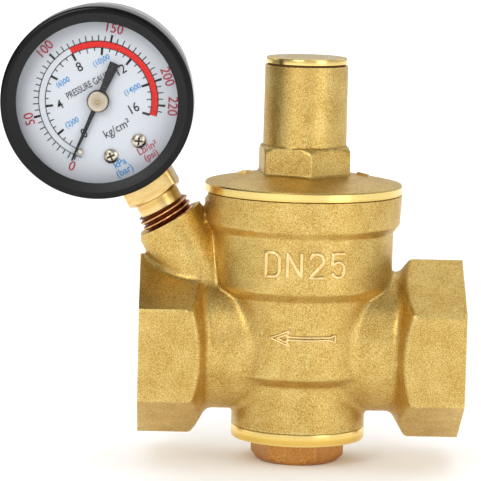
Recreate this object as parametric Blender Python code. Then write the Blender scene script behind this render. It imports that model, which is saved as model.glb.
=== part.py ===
"""Direct-acting water pressure regulator, DN25, with a bottom-entry pressure gauge.

Frame: the origin is where the pipe axis crosses the vertical spindle axis.
+X points to the inlet, -Y to the front, +Z up along the spindle. Metres.
Profiles are written in millimetres and scaled by MM when a mesh is made.
"""
import math

import bmesh
import bpy
from mathutils import Matrix, Vector

MM = 0.001

# ---- driving dimensions, millimetres ----
HALF_LENGTH = 42.5          # pipe axis centre to either end face
HEX_ACROSS_FLATS = 41.5     # the wrench hexagons round the pipe sockets
HEX_INNER_END = 28.5        # where the full hexagon stops
NECK_R = 16.8
NECK_END = 24.2
SOCKET_R = 15.15            # G1 thread, minor radius
SOCKET_MOUTH_R = 17.0
SOCKET_DEPTH = 16.0
PASSAGE_R = 8.0
INLET_Z = -4.0              # the two water passages are offset either side of the seat
OUTLET_Z = 5.6
BODY_BOTTOM = -20.6
BODY_TOP = 41.0
FOOT_R = 17.6               # the barrel steps out three times on its way up
BARREL_R = 21.5
COLLAR_R = 23.9
RIM_R = 26.0
SEAT_LOW, SEAT_HIGH = 2.0, 6.0
SEAT_BORE_R = 8.5
SEAT_LIP_R = 9.7
CHAMBER_R = 12.5
CHAMBER_FLOOR = -12.0
OUTLET_CHAMBER_R = 17.5
PISTON_BORE_R = 19.5
PISTON_LEDGE = 19.0
BONNET_THREAD_R = 22.5
BONNET_LEDGE = 31.0
PLUG_BORE_R = 13.5
PLUG_SEAL_R = 15.9
PLUG_FLANGE_R = 17.65
PLUG_HEX = 21.5
BONNET_FLANGE_R = 25.9
BONNET_HEX = 22.6
TUBE_R = 10.9
TUBE_TOP = 74.5
TUBE_BORE_R = 8.9
CAP_TOP = 76.6
CAP_R = 10.6
PISTON_R = 19.2
PISTON_LOW = 19.3
PISTON_HIGH = 26.3
STEM_R = 4.0
STEM_END_R = 2.5
SPRING_R = 7.05             # mean radius of the coil
SPRING_WIRE_R = 1.15
SPRING_TURNS = 8
SPRING_LOW, SPRING_HIGH = 26.6, 60.3
GAP = 0.3                   # clearance between resting pieces

# gauge: the hub of the dial and the tilt of its stem
HUB = (-53.7, 0.0, 65.0)
STEM_TILT = 30.1            # degrees from vertical, leaning away from the spindle
GAUGE_TURN = 3.0            # degrees about the stem, facing slightly to the outlet
BOSS_MOUTH = 36.8           # distances down the stem from the hub
STEM_END = 46.3
BOSS_R = 9.2
BOSS_BORE_R = 7.5
STEM_THREAD_R = 7.2
CASE_R = 24.0
CASE_WALL = 0.9
CASE_FRONT, CASE_BACK = -10.3, 11.0
BEZEL_R = 25.0
BEZEL_OPENING = 20.9
BEZEL_FRONT = -15.5
LENS_R = 23.9
DIAL_R = 22.7
DIAL_FRONT, DIAL_BACK = -9.3, -8.7
POINTER_REST = 52.8         # degrees clockwise from the stem side of the dial
STOP_PIN_R, STOP_PIN_ANGLE = 14.0, 48.2
DIAL_SCREW = (4.15, -14.2)
ARBOR_R = 0.75
GEAR_MODULE = 0.35
PINION_TEETH = 8
SECTOR_TEETH = 76           # teeth on the sector's full circle
SECTOR_TILT = -53.0         # direction of the sector's pivot, seen from the hub
TAIL_LENGTH = 5.0
TAIL_DIRECTION = -33.8      # degrees, at rest
LINK_LENGTH = 4.0
TUBE_MEAN_R = 17.3
TIP_ANGLE = -20.0           # where the Bourdon tube ends
ROOT_ANGLE = -96.0          # where it starts, in the socket

MATERIALS = {
    "cast_brass": ((0.70, 0.47, 0.15), 0.42, 1.0),
    "turned_brass": ((0.86, 0.66, 0.27), 0.22, 1.0),
    "dark_brass": ((0.45, 0.22, 0.06), 0.45, 1.0),
    "spring_steel": ((0.45, 0.45, 0.47), 0.35, 1.0),
    "stainless_steel": ((0.62, 0.62, 0.63), 0.25, 1.0),
    "chrome": ((0.80, 0.80, 0.82), 0.08, 1.0),
    "black_paint": ((0.02, 0.02, 0.02), 0.25, 0.0),
    "rubber": ((0.03, 0.03, 0.03), 0.75, 0.0),
    "fibre": ((0.35, 0.10, 0.07), 0.80, 0.0),
    "dial_white": ((0.66, 0.69, 0.76), 0.50, 0.0),
    "lens_clear": ((0.92, 0.95, 0.95), 0.05, 0.0),
}


def clear_scene():
    for item in list(bpy.data.objects):
        bpy.data.objects.remove(item, do_unlink=True)


def material(object_name, finish):
    colour, roughness, metallic = MATERIALS[finish]
    made = bpy.data.materials.new(object_name + "_" + finish)
    made.use_nodes = True
    shader = made.node_tree.nodes["Principled BSDF"]
    shader.inputs["Base Color"].default_value = (*colour, 1.0)
    shader.inputs["Roughness"].default_value = roughness
    shader.inputs["Metallic"].default_value = metallic
    return made


def finish_mesh(name, bm, parent=None, place=(0, 0, 0), finish=None, sharp=35):
    """Turn a bmesh in millimetres into an object; with no finish it is a cutting tool."""
    bmesh.ops.scale(bm, vec=(MM, MM, MM), verts=bm.verts)
    bmesh.ops.recalc_face_normals(bm, faces=bm.faces)
    mesh = bpy.data.meshes.new(name)
    bm.to_mesh(mesh)
    bm.free()
    mesh.shade_smooth()
    mesh.set_sharp_from_angle(angle=math.radians(sharp))
    made = bpy.data.objects.new(name, mesh)
    bpy.context.collection.objects.link(made)
    made.parent = parent
    made.location = [value * MM for value in place]
    if finish:
        mesh.materials.append(material(name, finish))
    else:
        made.hide_render = True
        made.display_type = "WIRE"
    return made


def turn_to(bm, axis):
    """Lay a shape made round Z along another axis."""
    turns = {"X": Matrix.Rotation(math.pi / 2, 3, "Y"), "Y": Matrix.Rotation(-math.pi / 2, 3, "X")}
    if axis in turns:
        bmesh.ops.rotate(bm, cent=(0, 0, 0), matrix=turns[axis], verts=bm.verts)
    return bm


def turned(outline, steps=40, axis="Z", ring=False):
    """A solid of revolution from (radius, height) points; a ring's outline is closed."""
    bm = bmesh.new()
    verts = [bm.verts.new((radius, 0.0, height)) for radius, height in outline]
    pairs = list(zip(verts, verts[1:]))
    if ring:
        pairs.append((verts[-1], verts[0]))
    edges = [bm.edges.new(pair) for pair in pairs]
    bmesh.ops.spin(bm, geom=verts + edges, cent=(0, 0, 0), axis=(0, 0, 1), angle=2 * math.pi,
                   steps=steps, use_merge=True, use_duplicate=False)
    bmesh.ops.remove_doubles(bm, verts=bm.verts, dist=1e-4)
    return turn_to(bm, axis)


def disc(radius, low, high, steps=40, axis="Z"):
    return turned([(0, low), (radius, low), (radius, high), (0, high)], steps, axis)


def washer(inner, outer, low, high, steps=40, axis="Z"):
    return turned([(inner, low), (outer, low), (outer, high), (inner, high)], steps, axis, ring=True)


def torus(mean, section, height, steps=28, sides=6):
    outline = [(mean + section * math.cos(2 * math.pi * i / sides),
                height + section * math.sin(2 * math.pi * i / sides)) for i in range(sides)]
    return turned(outline, steps, ring=True)


def prism(outline, low, high):
    """A straight solid from a closed XY outline."""
    bm = bmesh.new()
    base = bm.faces.new([bm.verts.new((x, y, low)) for x, y in outline])
    grown = bmesh.ops.extrude_face_region(bm, geom=[base])
    top = [item for item in grown["geom"] if isinstance(item, bmesh.types.BMVert)]
    bmesh.ops.translate(bm, vec=(0, 0, high - low), verts=top)
    return bm


def plate(outline, front, back):
    """A flat plate from a closed outline in the dial's plane: x to the right, z up."""
    bm = prism([(x, -z) for x, z in outline], front, back)
    return turn_to(bm, "Y")


def polygon(sides, across_flats, first=0.0):
    """Corners of a regular polygon; first is the first corner's angle in degrees."""
    radius = across_flats / 2 / math.cos(math.pi / sides)
    return [(radius * math.cos(math.radians(first) + 2 * math.pi * i / sides),
             radius * math.sin(math.radians(first) + 2 * math.pi * i / sides)) for i in range(sides)]


def box(x_range, y_range, z_range):
    (x0, x1), (y0, y1), (z0, z1) = x_range, y_range, z_range
    return prism([(x0, y0), (x1, y0), (x1, y1), (x0, y1)], z0, z1)


def half_turn(bm):
    """Turn a shape to face the opposite way round Z."""
    bmesh.ops.rotate(bm, cent=(0, 0, 0), matrix=Matrix.Rotation(math.pi, 3, "Z"), verts=bm.verts)
    return bm


def shifted(bm, offset):
    bmesh.ops.translate(bm, vec=offset, verts=bm.verts)
    return bm


def boolean(target, tool, operation="DIFFERENCE"):
    step = target.modifiers.new(tool.name, "BOOLEAN")
    step.operation = operation
    step.solver = "EXACT"
    step.object = tool


def tool(name, bm, parent=None, place=(0, 0, 0)):
    return finish_mesh("tool_" + name, bm, parent, place)


def cut(target, name, bm, parent=None, place=(0, 0, 0)):
    boolean(target, tool(name, bm, parent, place))


def add(target, name, bm, parent=None, place=(0, 0, 0)):
    boolean(target, tool(name, bm, parent, place), "UNION")


def sweep(frames, section):
    """A closed solid along frames of (centre, across, up), with a fixed (across, up) section."""
    bm = bmesh.new()
    rings = []
    for centre, across, up in frames:
        rings.append([bm.verts.new(Vector(centre) + a * Vector(across) + b * Vector(up))
                      for a, b in section])
    count = len(section)
    for low, high in zip(rings, rings[1:]):
        for i in range(count):
            j = (i + 1) % count
            bm.faces.new((low[i], low[j], high[j], high[i]))
    bm.faces.new(rings[0])
    bm.faces.new(list(reversed(rings[-1])))
    return bm


def ring_section(half_across, half_up, sides):
    return [(half_across * math.cos(2 * math.pi * i / sides), half_up * math.sin(2 * math.pi * i / sides))
            for i in range(sides)]


# ---- valve body ----
def hex_end(side):
    """One wrench hexagon with the cone that runs down to the neck."""
    corner_r = HEX_ACROSS_FLATS / 2 / math.cos(math.pi / 6)
    hexagon = turn_to(prism(polygon(6, HEX_ACROSS_FLATS), NECK_END - 2.0, HALF_LENGTH), "X")
    # the cone runs wider than the hexagon's corners and breaks their outer ends
    cone = turned([(0, NECK_END - 1.2), (NECK_R - 2.0, NECK_END - 1.2), (corner_r + 0.6, HEX_INNER_END + 0.4),
                   (corner_r + 0.6, HALF_LENGTH - 1.2), (corner_r - 2.4, HALF_LENGTH + 0.8),
                   (0, HALF_LENGTH + 0.8)], 48, "X")
    bmesh.ops.rotate(cone, cent=(0, 0, 0), matrix=Matrix.Rotation(math.radians(2), 3, "X"), verts=cone.verts)
    if side < 0:
        half_turn(hexagon)
        half_turn(cone)
    end = tool(f"hex_end_{side}", hexagon)
    boolean(end, tool(f"hex_cone_{side}", cone), "INTERSECT")
    return end


def make_body():
    barrel = [(0, BODY_BOTTOM), (FOOT_R, BODY_BOTTOM), (FOOT_R, -8.4), (BARREL_R, -5.7), (BARREL_R, 14.5),
              (COLLAR_R, 17.0), (COLLAR_R, 31.2), (RIM_R - 0.4, 33.2), (RIM_R, BODY_TOP), (0, BODY_TOP)]
    body = finish_mesh("body", turned(barrel, 48), finish="cast_brass")
    add(body, "neck", disc(NECK_R, -NECK_END - 2, NECK_END + 2, 36, "X"))
    for side in (-1, 1):
        boolean(body, hex_end(side), "UNION")
    add(body, "boss", disc(BOSS_R, -64.0, -BOSS_MOUTH, 32), gauge_frame)

    for side in (-1, 1):
        mouth = [(0, HALF_LENGTH + 1), (SOCKET_MOUTH_R + 1, HALF_LENGTH + 1),
                 (SOCKET_R, HALF_LENGTH - 1.9), (SOCKET_R, HALF_LENGTH - SOCKET_DEPTH),
                 (0, HALF_LENGTH - SOCKET_DEPTH)]
        socket = turned(mouth, 40, "X")
        cut(body, f"socket_{side}", half_turn(socket) if side < 0 else socket)
    cut(body, "inlet_passage", shifted(disc(PASSAGE_R, 11.5, HALF_LENGTH - 15, 24, "X"), (0, 0, INLET_Z)))
    cut(body, "outlet_passage", shifted(disc(PASSAGE_R, -HALF_LENGTH + 15, -14.7, 24, "X"),
                                        (0, 0, OUTLET_Z)))
    # one bore along the spindle: plug, lower chamber, seat with its raised lip, outlet chamber,
    # piston and bonnet thread
    cut(body, "spindle_bore", turned([(0, BODY_BOTTOM - 1), (PLUG_SEAL_R, BODY_BOTTOM - 1), (PLUG_SEAL_R, -18.4),
                                      (PLUG_BORE_R, -18.4), (PLUG_BORE_R, CHAMBER_FLOOR),
                                      (CHAMBER_R, CHAMBER_FLOOR), (CHAMBER_R, SEAT_LOW), (SEAT_LIP_R, SEAT_LOW),
                                      (SEAT_LIP_R, SEAT_LOW - 1), (SEAT_BORE_R, SEAT_LOW - 1),
                                      (SEAT_BORE_R, SEAT_HIGH), (OUTLET_CHAMBER_R, SEAT_HIGH),
                                      (OUTLET_CHAMBER_R, PISTON_LEDGE), (PISTON_BORE_R, PISTON_LEDGE),
                                      (PISTON_BORE_R, BONNET_LEDGE), (BONNET_THREAD_R, BONNET_LEDGE),
                                      (BONNET_THREAD_R, BODY_TOP + 1), (0, BODY_TOP + 1)], 48))
    cut(body, "gauge_bore", turned([(0, -62.5), (2.5, -62.5), (2.5, -47.3), (BOSS_BORE_R, -47.3),
                                    (BOSS_BORE_R, -BOSS_MOUTH - 0.8), (BOSS_BORE_R + 1.6, -BOSS_MOUTH + 0.8),
                                    (0, -BOSS_MOUTH + 0.8)], 24), gauge_frame)


# ---- spindle ----
def make_bonnet():
    outline = [(22.2, 33.0), (22.2, 41.3), (BONNET_FLANGE_R, 41.3), (BONNET_FLANGE_R, 43.7),
               (24.6, 44.1), (19.0, 45.0), (12.4, 46.0), (TUBE_R, 46.0), (TUBE_R - 0.1, TUBE_TOP - 0.4),
               (TUBE_R - 0.5, TUBE_TOP), (TUBE_BORE_R, TUBE_TOP), (TUBE_BORE_R, 39.5), (19.8, 39.5),
               (19.8, 33.0)]
    bonnet = finish_mesh("bonnet", turned(outline, 40, ring=True), finish="cast_brass")
    corner_r = BONNET_HEX / math.sqrt(3)
    hexagon = tool("bonnet_hex", prism(polygon(6, BONNET_HEX, -81.0), 45.0, 53.6))
    boolean(hexagon, tool("bonnet_hex_crown", turned([(0, 44), (corner_r, 44), (corner_r, 52.6),
                                                      (corner_r - 1.6, 53.6), (0, 53.6)], 36)), "INTERSECT")
    cut(hexagon, "bonnet_hex_bore", disc(TUBE_BORE_R + 1.0, 43, 55, 32))
    boolean(bonnet, hexagon, "UNION")
    finish_mesh("bonnet_o_ring", torus(21.0, 0.75, 32.0), finish="rubber")


def make_cap():
    finish_mesh("cap_washer", washer(8.9, 10.1, TUBE_TOP + 0.1, TUBE_TOP + 0.5, 40), finish="fibre")
    cap = finish_mesh("top_cap", turned([(0, 70.0), (8.2, 70.0), (8.6, 70.4), (8.6, TUBE_TOP + 0.6),
                                         (CAP_R, TUBE_TOP + 0.6), (CAP_R, CAP_TOP - 0.3),
                                         (CAP_R - 0.3, CAP_TOP), (0, CAP_TOP)], 48),
                      finish="turned_brass")
    cut(cap, "cap_core", disc(5.5, 69.0, 73.5, 32))


def make_adjuster():
    finish_mesh("upper_spring_seat", turned([(0, 58.0), (5.2, 58.0), (5.6, 58.6), (5.6, 60.6), (8.5, 60.6),
                                             (8.5, 62.5), (0, 62.5)], 40), finish="turned_brass")
    screw = finish_mesh("adjusting_screw", turned([(0, 62.8), (8.2, 62.8), (8.6, 63.2), (8.6, 67.6),
                                                   (8.2, 68.0), (0, 68.0)], 40), finish="turned_brass")
    cut(screw, "adjusting_socket", prism(polygon(6, 8.0), 64.3, 69.0))


def make_spring():
    """A helical compression spring whose first and last turns lie closed on the seats."""
    closed_turns = 0.75
    closed_rise = SPRING_WIRE_R * 2.1
    low, high = SPRING_LOW + SPRING_WIRE_R, SPRING_HIGH - SPRING_WIRE_R
    frames = []
    for i in range(SPRING_TURNS * 12 + 1):
        turn = i / 12
        first = min(turn / closed_turns, 1.0)
        last = min(max((turn - SPRING_TURNS) / closed_turns + 1.0, 0.0), 1.0)
        free = min(max((turn - closed_turns) / (SPRING_TURNS - 2 * closed_turns), 0.0), 1.0)
        height = low + closed_rise * (first + last) + free * (high - low - 2 * closed_rise)
        angle = 2 * math.pi * turn
        outward = Vector((math.cos(angle), math.sin(angle), 0))
        frames.append((outward * SPRING_R + Vector((0, 0, height)), outward, (0, 0, 1)))
    finish_mesh("main_spring", sweep(frames, ring_section(SPRING_WIRE_R, SPRING_WIRE_R, 6)),
                finish="spring_steel")


def make_piston():
    piston = [(0, -11.3), (2.1, -11.3), (STEM_END_R, -10.9), (STEM_END_R, -2.3), (STEM_R, -2.3),
              (STEM_R, 17.3), (6.0, PISTON_LOW), (PISTON_R - 0.4, PISTON_LOW), (PISTON_R, PISTON_LOW + 0.4),
              (PISTON_R, 21.8), (17.0, 21.8), (17.0, 24.2), (PISTON_R, 24.2), (PISTON_R, PISTON_HIGH - 0.4),
              (PISTON_R - 0.4, PISTON_HIGH), (5.6, PISTON_HIGH), (5.6, 28.7), (5.0, 29.3), (0, 29.3)]
    finish_mesh("piston", turned(piston, 40), finish="turned_brass")
    finish_mesh("piston_o_ring", torus(18.15, 0.9, 23.0), finish="rubber")
    finish_mesh("valve_disc_holder", turned([(2.8, -7.4), (9.6, -7.4), (11.2, -6.2), (11.2, -3.6),
                                             (10.5, -3.6), (10.5, -5.4), (2.8, -5.4)], 44, ring=True),
                finish="turned_brass")
    finish_mesh("valve_disc_seal", washer(2.9, 10.2, -5.1, -2.6, 44), finish="rubber")
    nut = finish_mesh("disc_nut", prism(polygon(6, 8.0), -10.3, -7.7), finish="turned_brass")
    cut(nut, "disc_nut_bore", disc(STEM_END_R + 0.3, -11, -7, 32))


def make_bottom_plug():
    outline = [(0, CHAMBER_FLOOR - 0.3), (12.7, CHAMBER_FLOOR - 0.3), (13.2, -12.8), (13.2, -20.9),
               (PLUG_FLANGE_R - 0.3, -20.9), (PLUG_FLANGE_R, -21.2), (PLUG_FLANGE_R, -23.7),
               (PLUG_FLANGE_R - 0.3, -24.0), (0, -24.0)]
    plug = finish_mesh("bottom_plug", turned(outline, 40), finish="dark_brass")
    hexagon = tool("plug_hex", prism(polygon(6, PLUG_HEX, -69.0), -30.2, -23.0))
    boolean(hexagon, tool("plug_hex_crown", turned([(0, -30.2), (11.0, -30.2), (12.3, -29.3), (12.3, -22.0),
                                                    (0, -22.0)], 36)), "INTERSECT")
    boolean(plug, hexagon, "UNION")
    finish_mesh("bottom_plug_o_ring", torus(14.6, 0.9, -19.6), finish="rubber")


# ---- gauge shell ----
def make_gauge_socket():
    saddle = CASE_R + GAP
    socket = finish_mesh("gauge_socket", box((-4, 4), (-4.5, 4.5), (-27.0, -14.5)), gauge_frame,
                         finish="turned_brass")
    square = [(7.0, -5.5), (7.0, 5.5), (5.5, 7.0), (-5.5, 7.0), (-7.0, 5.5), (-7.0, -5.5), (-5.5, -7.0),
              (5.5, -7.0)]
    block = tool("socket_square", prism(square, -29.9, -21.5), gauge_frame)
    cut(block, "socket_saddle", disc(saddle, -20, 20, 56, "Y"), gauge_frame)
    boolean(socket, block, "UNION")
    stem = turned([(0, -STEM_END), (6.2, -STEM_END), (STEM_THREAD_R, -STEM_END + 1), (STEM_THREAD_R, -32.8),
                   (6.0, -32.4), (6.0, -29.0), (0, -29.0)], 32)
    add(socket, "socket_stem", stem, gauge_frame)
    cut(socket, "socket_drill", disc(1.25, -STEM_END - 1, -17.0, 12), gauge_frame)
    cut(socket, "socket_pocket", box((-5.0, -0.9), (-3.3, 3.3), (-18.6, -15.5)), gauge_frame)
    for index, (x, z, side) in enumerate(MOVEMENT_SCREWS):
        hole = disc(1.0, 2.3, 6.0, 12, "Y")
        cut(socket, f"socket_screw_{index}", half_turn(hole) if side < 0 else hole, gauge_frame, (x, 0, z))


def make_gauge_case():
    inner = CASE_R - CASE_WALL
    case = finish_mesh("gauge_case", turned([(0, CASE_BACK), (CASE_R - 2.5, CASE_BACK),
                                             (CASE_R - 0.7, CASE_BACK - 0.7), (CASE_R, CASE_BACK - 2.5),
                                             (CASE_R, CASE_FRONT), (inner, CASE_FRONT),
                                             (inner, CASE_BACK - 2.2), (inner - 1.6, CASE_BACK - CASE_WALL),
                                             (0, CASE_BACK - CASE_WALL)], 48, "Y"), gauge_frame,
                       finish="chrome")
    cut(case, "case_stem_hole", disc(6.4, -30, -15, 32), gauge_frame)
    bezel = [(BEZEL_OPENING, -14.6), (21.4, -15.0), (23.4, BEZEL_FRONT), (24.4, BEZEL_FRONT + 0.1),
             (BEZEL_R, BEZEL_FRONT + 0.9), (BEZEL_R, -7.9), (BEZEL_R - 0.2, -7.4), (CASE_R + 0.35, -7.4),
             (CASE_R + 0.35, -14.1), (BEZEL_OPENING, -14.1)]
    finish_mesh("gauge_bezel", turned(bezel, 48, "Y", ring=True), gauge_frame, finish="black_paint")
    finish_mesh("gauge_lens", disc(LENS_R, -13.8, -12.3, 48, "Y"), gauge_frame, finish="lens_clear")
    finish_mesh("lens_gasket", washer(21.6, LENS_R, -12.0, -10.6, 40, "Y"), gauge_frame, finish="rubber")


def make_dial():
    dial = finish_mesh("dial_plate", washer(1.6, DIAL_R, DIAL_FRONT, DIAL_BACK, 40, "Y"), gauge_frame,
                       finish="dial_white")
    for index, side in enumerate((-1, 1), start=1):
        place = (side * DIAL_SCREW[0], 0, DIAL_SCREW[1])
        cut(dial, f"dial_screw_hole_{index}", disc(1.1, -10, -8, 16, "Y"), gauge_frame, place)
        screw = finish_mesh(f"dial_screw_{index}",
                            turned([(0, -10.3), (1.3, -10.3), (1.9, -9.9), (1.9, -9.6), (0.8, -9.6), (0.8, -5.3),
                                    (0, -5.3)], 16, "Y"), gauge_frame, place, "stainless_steel")
        for arm in ("x", "z"):
            size = ((-1.2, 1.2), (-11, -10.0), (-0.2, 0.2)) if arm == "x" else \
                   ((-0.2, 0.2), (-11, -10.0), (-1.2, 1.2))
            cut(screw, f"dial_screw_slot_{arm}_{index}", box(*size), gauge_frame, place)
    angle = math.radians(STOP_PIN_ANGLE)
    place = (-STOP_PIN_R * math.sin(angle), 0, -STOP_PIN_R * math.cos(angle))
    finish_mesh("stop_pin", disc(0.45, -11.2, DIAL_FRONT - 0.1, 12, "Y"), gauge_frame, place, "turned_brass")


# ---- gauge movement ----
def involute(base, radius):
    """Polar angle of an involute where it reaches that radius."""
    roll = math.sqrt(max((radius / base) ** 2 - 1, 0))
    return roll - math.atan(roll)


def tooth(teeth, addendum, dedendum, backlash=0.12, steps=3):
    """One tooth's (angle, radius) points, centred on angle 0, root to root."""
    pitch = GEAR_MODULE * teeth / 2
    base = pitch * math.cos(math.radians(20))
    tip, root = pitch + addendum, pitch - dedendum
    half = math.pi / 2 / teeth - backlash / 4 / pitch + involute(base, pitch)
    start = max(base, root)
    flank = [start + (tip - start) * i / steps for i in range(steps + 1)]
    left = [(-half, root)] if root < base else []
    left += [(-half + involute(base, radius), radius) for radius in flank]
    return left + [(-angle, radius) for angle, radius in reversed(left)]


def make_pinion():
    outline = []
    toward_sector = math.radians(SECTOR_TILT)
    for index in range(PINION_TEETH):
        # a gap, not a tooth, faces the sector
        middle = toward_sector + 2 * math.pi * (index + 0.5) / PINION_TEETH
        outline += [(middle + angle, radius) for angle, radius in
                    tooth(PINION_TEETH, GEAR_MODULE, GEAR_MODULE * 1.2)]
    points = [(radius * math.cos(angle), radius * math.sin(angle)) for angle, radius in outline]
    arbor = finish_mesh("pinion_arbor", plate(points, -1.5, 1.5), gauge_frame, finish="stainless_steel")
    add(arbor, "arbor_shaft", turned([(0, -11.3), (0.5, -11.3), (ARBOR_R, -10.9), (ARBOR_R, 5.6),
                                      (0.5, 5.9), (0, 5.9)], 16, "Y"), gauge_frame)


def sector_pivot():
    distance = GEAR_MODULE * (PINION_TEETH + SECTOR_TEETH) / 2
    angle = math.radians(SECTOR_TILT)
    return (distance * math.cos(angle), distance * math.sin(angle))


def tail_point():
    x, z = sector_pivot()
    angle = math.radians(TAIL_DIRECTION)
    return (x + TAIL_LENGTH * math.cos(angle), z + TAIL_LENGTH * math.sin(angle))


def capsule(start, end, radius, steps=8):
    """Outline of a bar with round ends."""
    heading = math.atan2(end[1] - start[1], end[0] - start[0])
    points = []
    for centre, first in ((end, heading - math.pi / 2), (start, heading + math.pi / 2)):
        for i in range(steps + 1):
            angle = first + math.pi * i / steps
            points.append((centre[0] + radius * math.cos(angle), centre[1] + radius * math.sin(angle)))
    return points


def make_sector():
    """The toothed sector; its origin is on its pivot."""
    toward_hub = math.radians(SECTOR_TILT + 180)
    pitch_angle = 2 * math.pi / SECTOR_TEETH
    points = []
    # the teeth run past the contact point on both sides through the whole swing
    for index in range(8, -3, -1):
        middle = toward_hub - index * pitch_angle
        points += [(middle + angle, radius) for angle, radius in
                   tooth(SECTOR_TEETH, GEAR_MODULE * 0.75, GEAR_MODULE * 1.2)]
    teeth = [(radius * math.cos(angle), radius * math.sin(angle)) for angle, radius in points]
    first, last = points[0][0], points[-1][0]
    rim = GEAR_MODULE * SECTOR_TEETH / 2 - 1.6
    inner = [(rim * math.cos(last), rim * math.sin(last)),
             (math.cos(toward_hub + 0.8), math.sin(toward_hub + 0.8)),
             (math.cos(toward_hub - 1.6), math.sin(toward_hub - 1.6)),
             (rim * math.cos(first), rim * math.sin(first))]
    x, z = sector_pivot()
    place = (x, 0, z)
    sector = finish_mesh("sector_gear", plate(teeth + inner, -0.5, 0.5), gauge_frame, place, "turned_brass")
    tail = (TAIL_LENGTH * math.cos(math.radians(TAIL_DIRECTION)),
            TAIL_LENGTH * math.sin(math.radians(TAIL_DIRECTION)))
    add(sector, "sector_tail", plate(capsule((0, 0), tail, 1.2), -0.4, 0.4), gauge_frame, place)
    add(sector, "sector_shaft", turned([(0, -5.8), (0.75, -5.8), (0.75, -4.5), (1.3, -4.5), (1.3, 4.5),
                                        (0.75, 4.5), (0.75, 5.8), (0, 5.8)], 16, "Y"), gauge_frame, place)
    add(sector, "sector_stud", disc(0.5, -2.0, 0.3, 12, "Y"), gauge_frame,
        (x + tail[0], 0, z + tail[1]))


def tip_stud():
    """Where the link meets the tip of the tube: along the tube's own end direction."""
    x, z = tail_point()
    angle = math.radians(TIP_ANGLE)
    return (x - LINK_LENGTH * math.sin(angle), z + LINK_LENGTH * math.cos(angle))


def make_link():
    """A flat rod between the sector's tail and the tip of the tube; its origin is on the tail."""
    x, z = tail_point()
    tip_x, tip_z = tip_stud()
    end = (tip_x - x, tip_z - z)
    link = finish_mesh("link_rod", plate(capsule((0, 0), end, 1.4), -1.6, -0.8), gauge_frame, (x, 0, z),
                       "turned_brass")
    cut(link, "link_hole_tail", disc(0.8, -3, 1, 12, "Y"), gauge_frame, (x, 0, z))
    cut(link, "link_hole_tip", disc(0.95, -3, 1, 12, "Y"), gauge_frame, (tip_x, 0, tip_z))


def arc_frames(start, end, steps, radius=TUBE_MEAN_R):
    frames = []
    for i in range(steps + 1):
        angle = math.radians(start + (end - start) * i / steps)
        outward = Vector((math.cos(angle), 0, math.sin(angle)))
        frames.append((outward * radius, outward, (0, 1, 0)))
    return frames


def make_bourdon_tube():
    """A flattened tube bent to a C, open into the socket and closed at the tip."""
    start, end = ROOT_ANGLE, TIP_ANGLE - 360
    tube = finish_mesh("bourdon_tube", sweep(arc_frames(start, end, 32), ring_section(1.0, 3.0, 8)),
                       gauge_frame, finish="dark_brass")
    cut(tube, "tube_bore", sweep(arc_frames(start + 3, end + 6, 31), ring_section(0.55, 2.4, 8)), gauge_frame)


def make_tube_tip():
    """A cap over the closed end of the tube, with the stud that carries the link."""
    angle = math.radians(TIP_ANGLE)
    outward = Vector((math.cos(angle), 0, math.sin(angle)))
    along = Vector((-math.sin(angle), 0, math.cos(angle)))
    centre = outward * TUBE_MEAN_R
    frames = [(centre + along * step, outward, (0, 1, 0)) for step in (-3.4, 1.2)]
    square = [(-2.0, -3.9), (2.1, -3.9), (2.1, 3.9), (-2.0, 3.9)]
    tip = finish_mesh("tube_tip", sweep(frames, square), gauge_frame, finish="dark_brass")
    pocket = [(centre + along * step, outward, (0, 1, 0)) for step in (-2.75, 3.0)]
    cut(tip, "tip_pocket", sweep(pocket, [(-1.5, -3.4), (1.45, -3.4), (1.45, 3.4), (-1.5, 3.4)]), gauge_frame)
    stud_x, stud_z = tip_stud()
    # a lug below the pocket carries the stud inward to the link
    lug_end = centre - along * 3.65
    lug = capsule((stud_x, stud_z), (lug_end.x, lug_end.z), 0.9)
    add(tip, "tip_lug", plate(lug, -0.5, 0.5), gauge_frame)
    add(tip, "tip_stud", disc(0.5, -2.0, 0.2, 12, "Y"), gauge_frame, (stud_x, 0, stud_z))


PILLARS = [(-5.2, -2.5), (5.0, 4.4)]
MOVEMENT_SCREWS = [(-2.2, -20.6, -1), (2.2, -20.6, -1), (-2.2, -20.6, 1), (2.2, -20.6, 1)]


def movement_plate(name, side):
    """One of the two brass plates that carry the arbors; side -1 is the front one."""
    pivot_x, pivot_z = sector_pivot()
    outline = [(-4.0, -22.2), (4.0, -22.2), (6.3, -18.0), (pivot_x + 2.2, pivot_z - 2.6),
               (pivot_x + 3.0, pivot_z + 1.5), (7.4, 4.4), (5.0, 6.8), (-2.5, 4.5), (-7.4, -0.8),
               (-7.2, -5.0), (-6.2, -16.0)]
    front, back = (-5.6, -4.8) if side < 0 else (4.8, 5.6)
    made = finish_mesh(name, plate(outline, front, back), gauge_frame, finish="turned_brass")
    holes = [((0, 0), ARBOR_R + GAP), ((pivot_x, pivot_z), ARBOR_R + GAP)]
    holes += [(place, 0.9) for place in PILLARS]
    holes += [((x, z), 1.0) for x, z, which in MOVEMENT_SCREWS if which == side]
    for index, ((x, z), radius) in enumerate(holes):
        cut(made, f"{name}_hole_{index}", disc(radius, front - 1.5, back + 1.5, 16, "Y"), gauge_frame, (x, 0, z))
    return made


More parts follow.
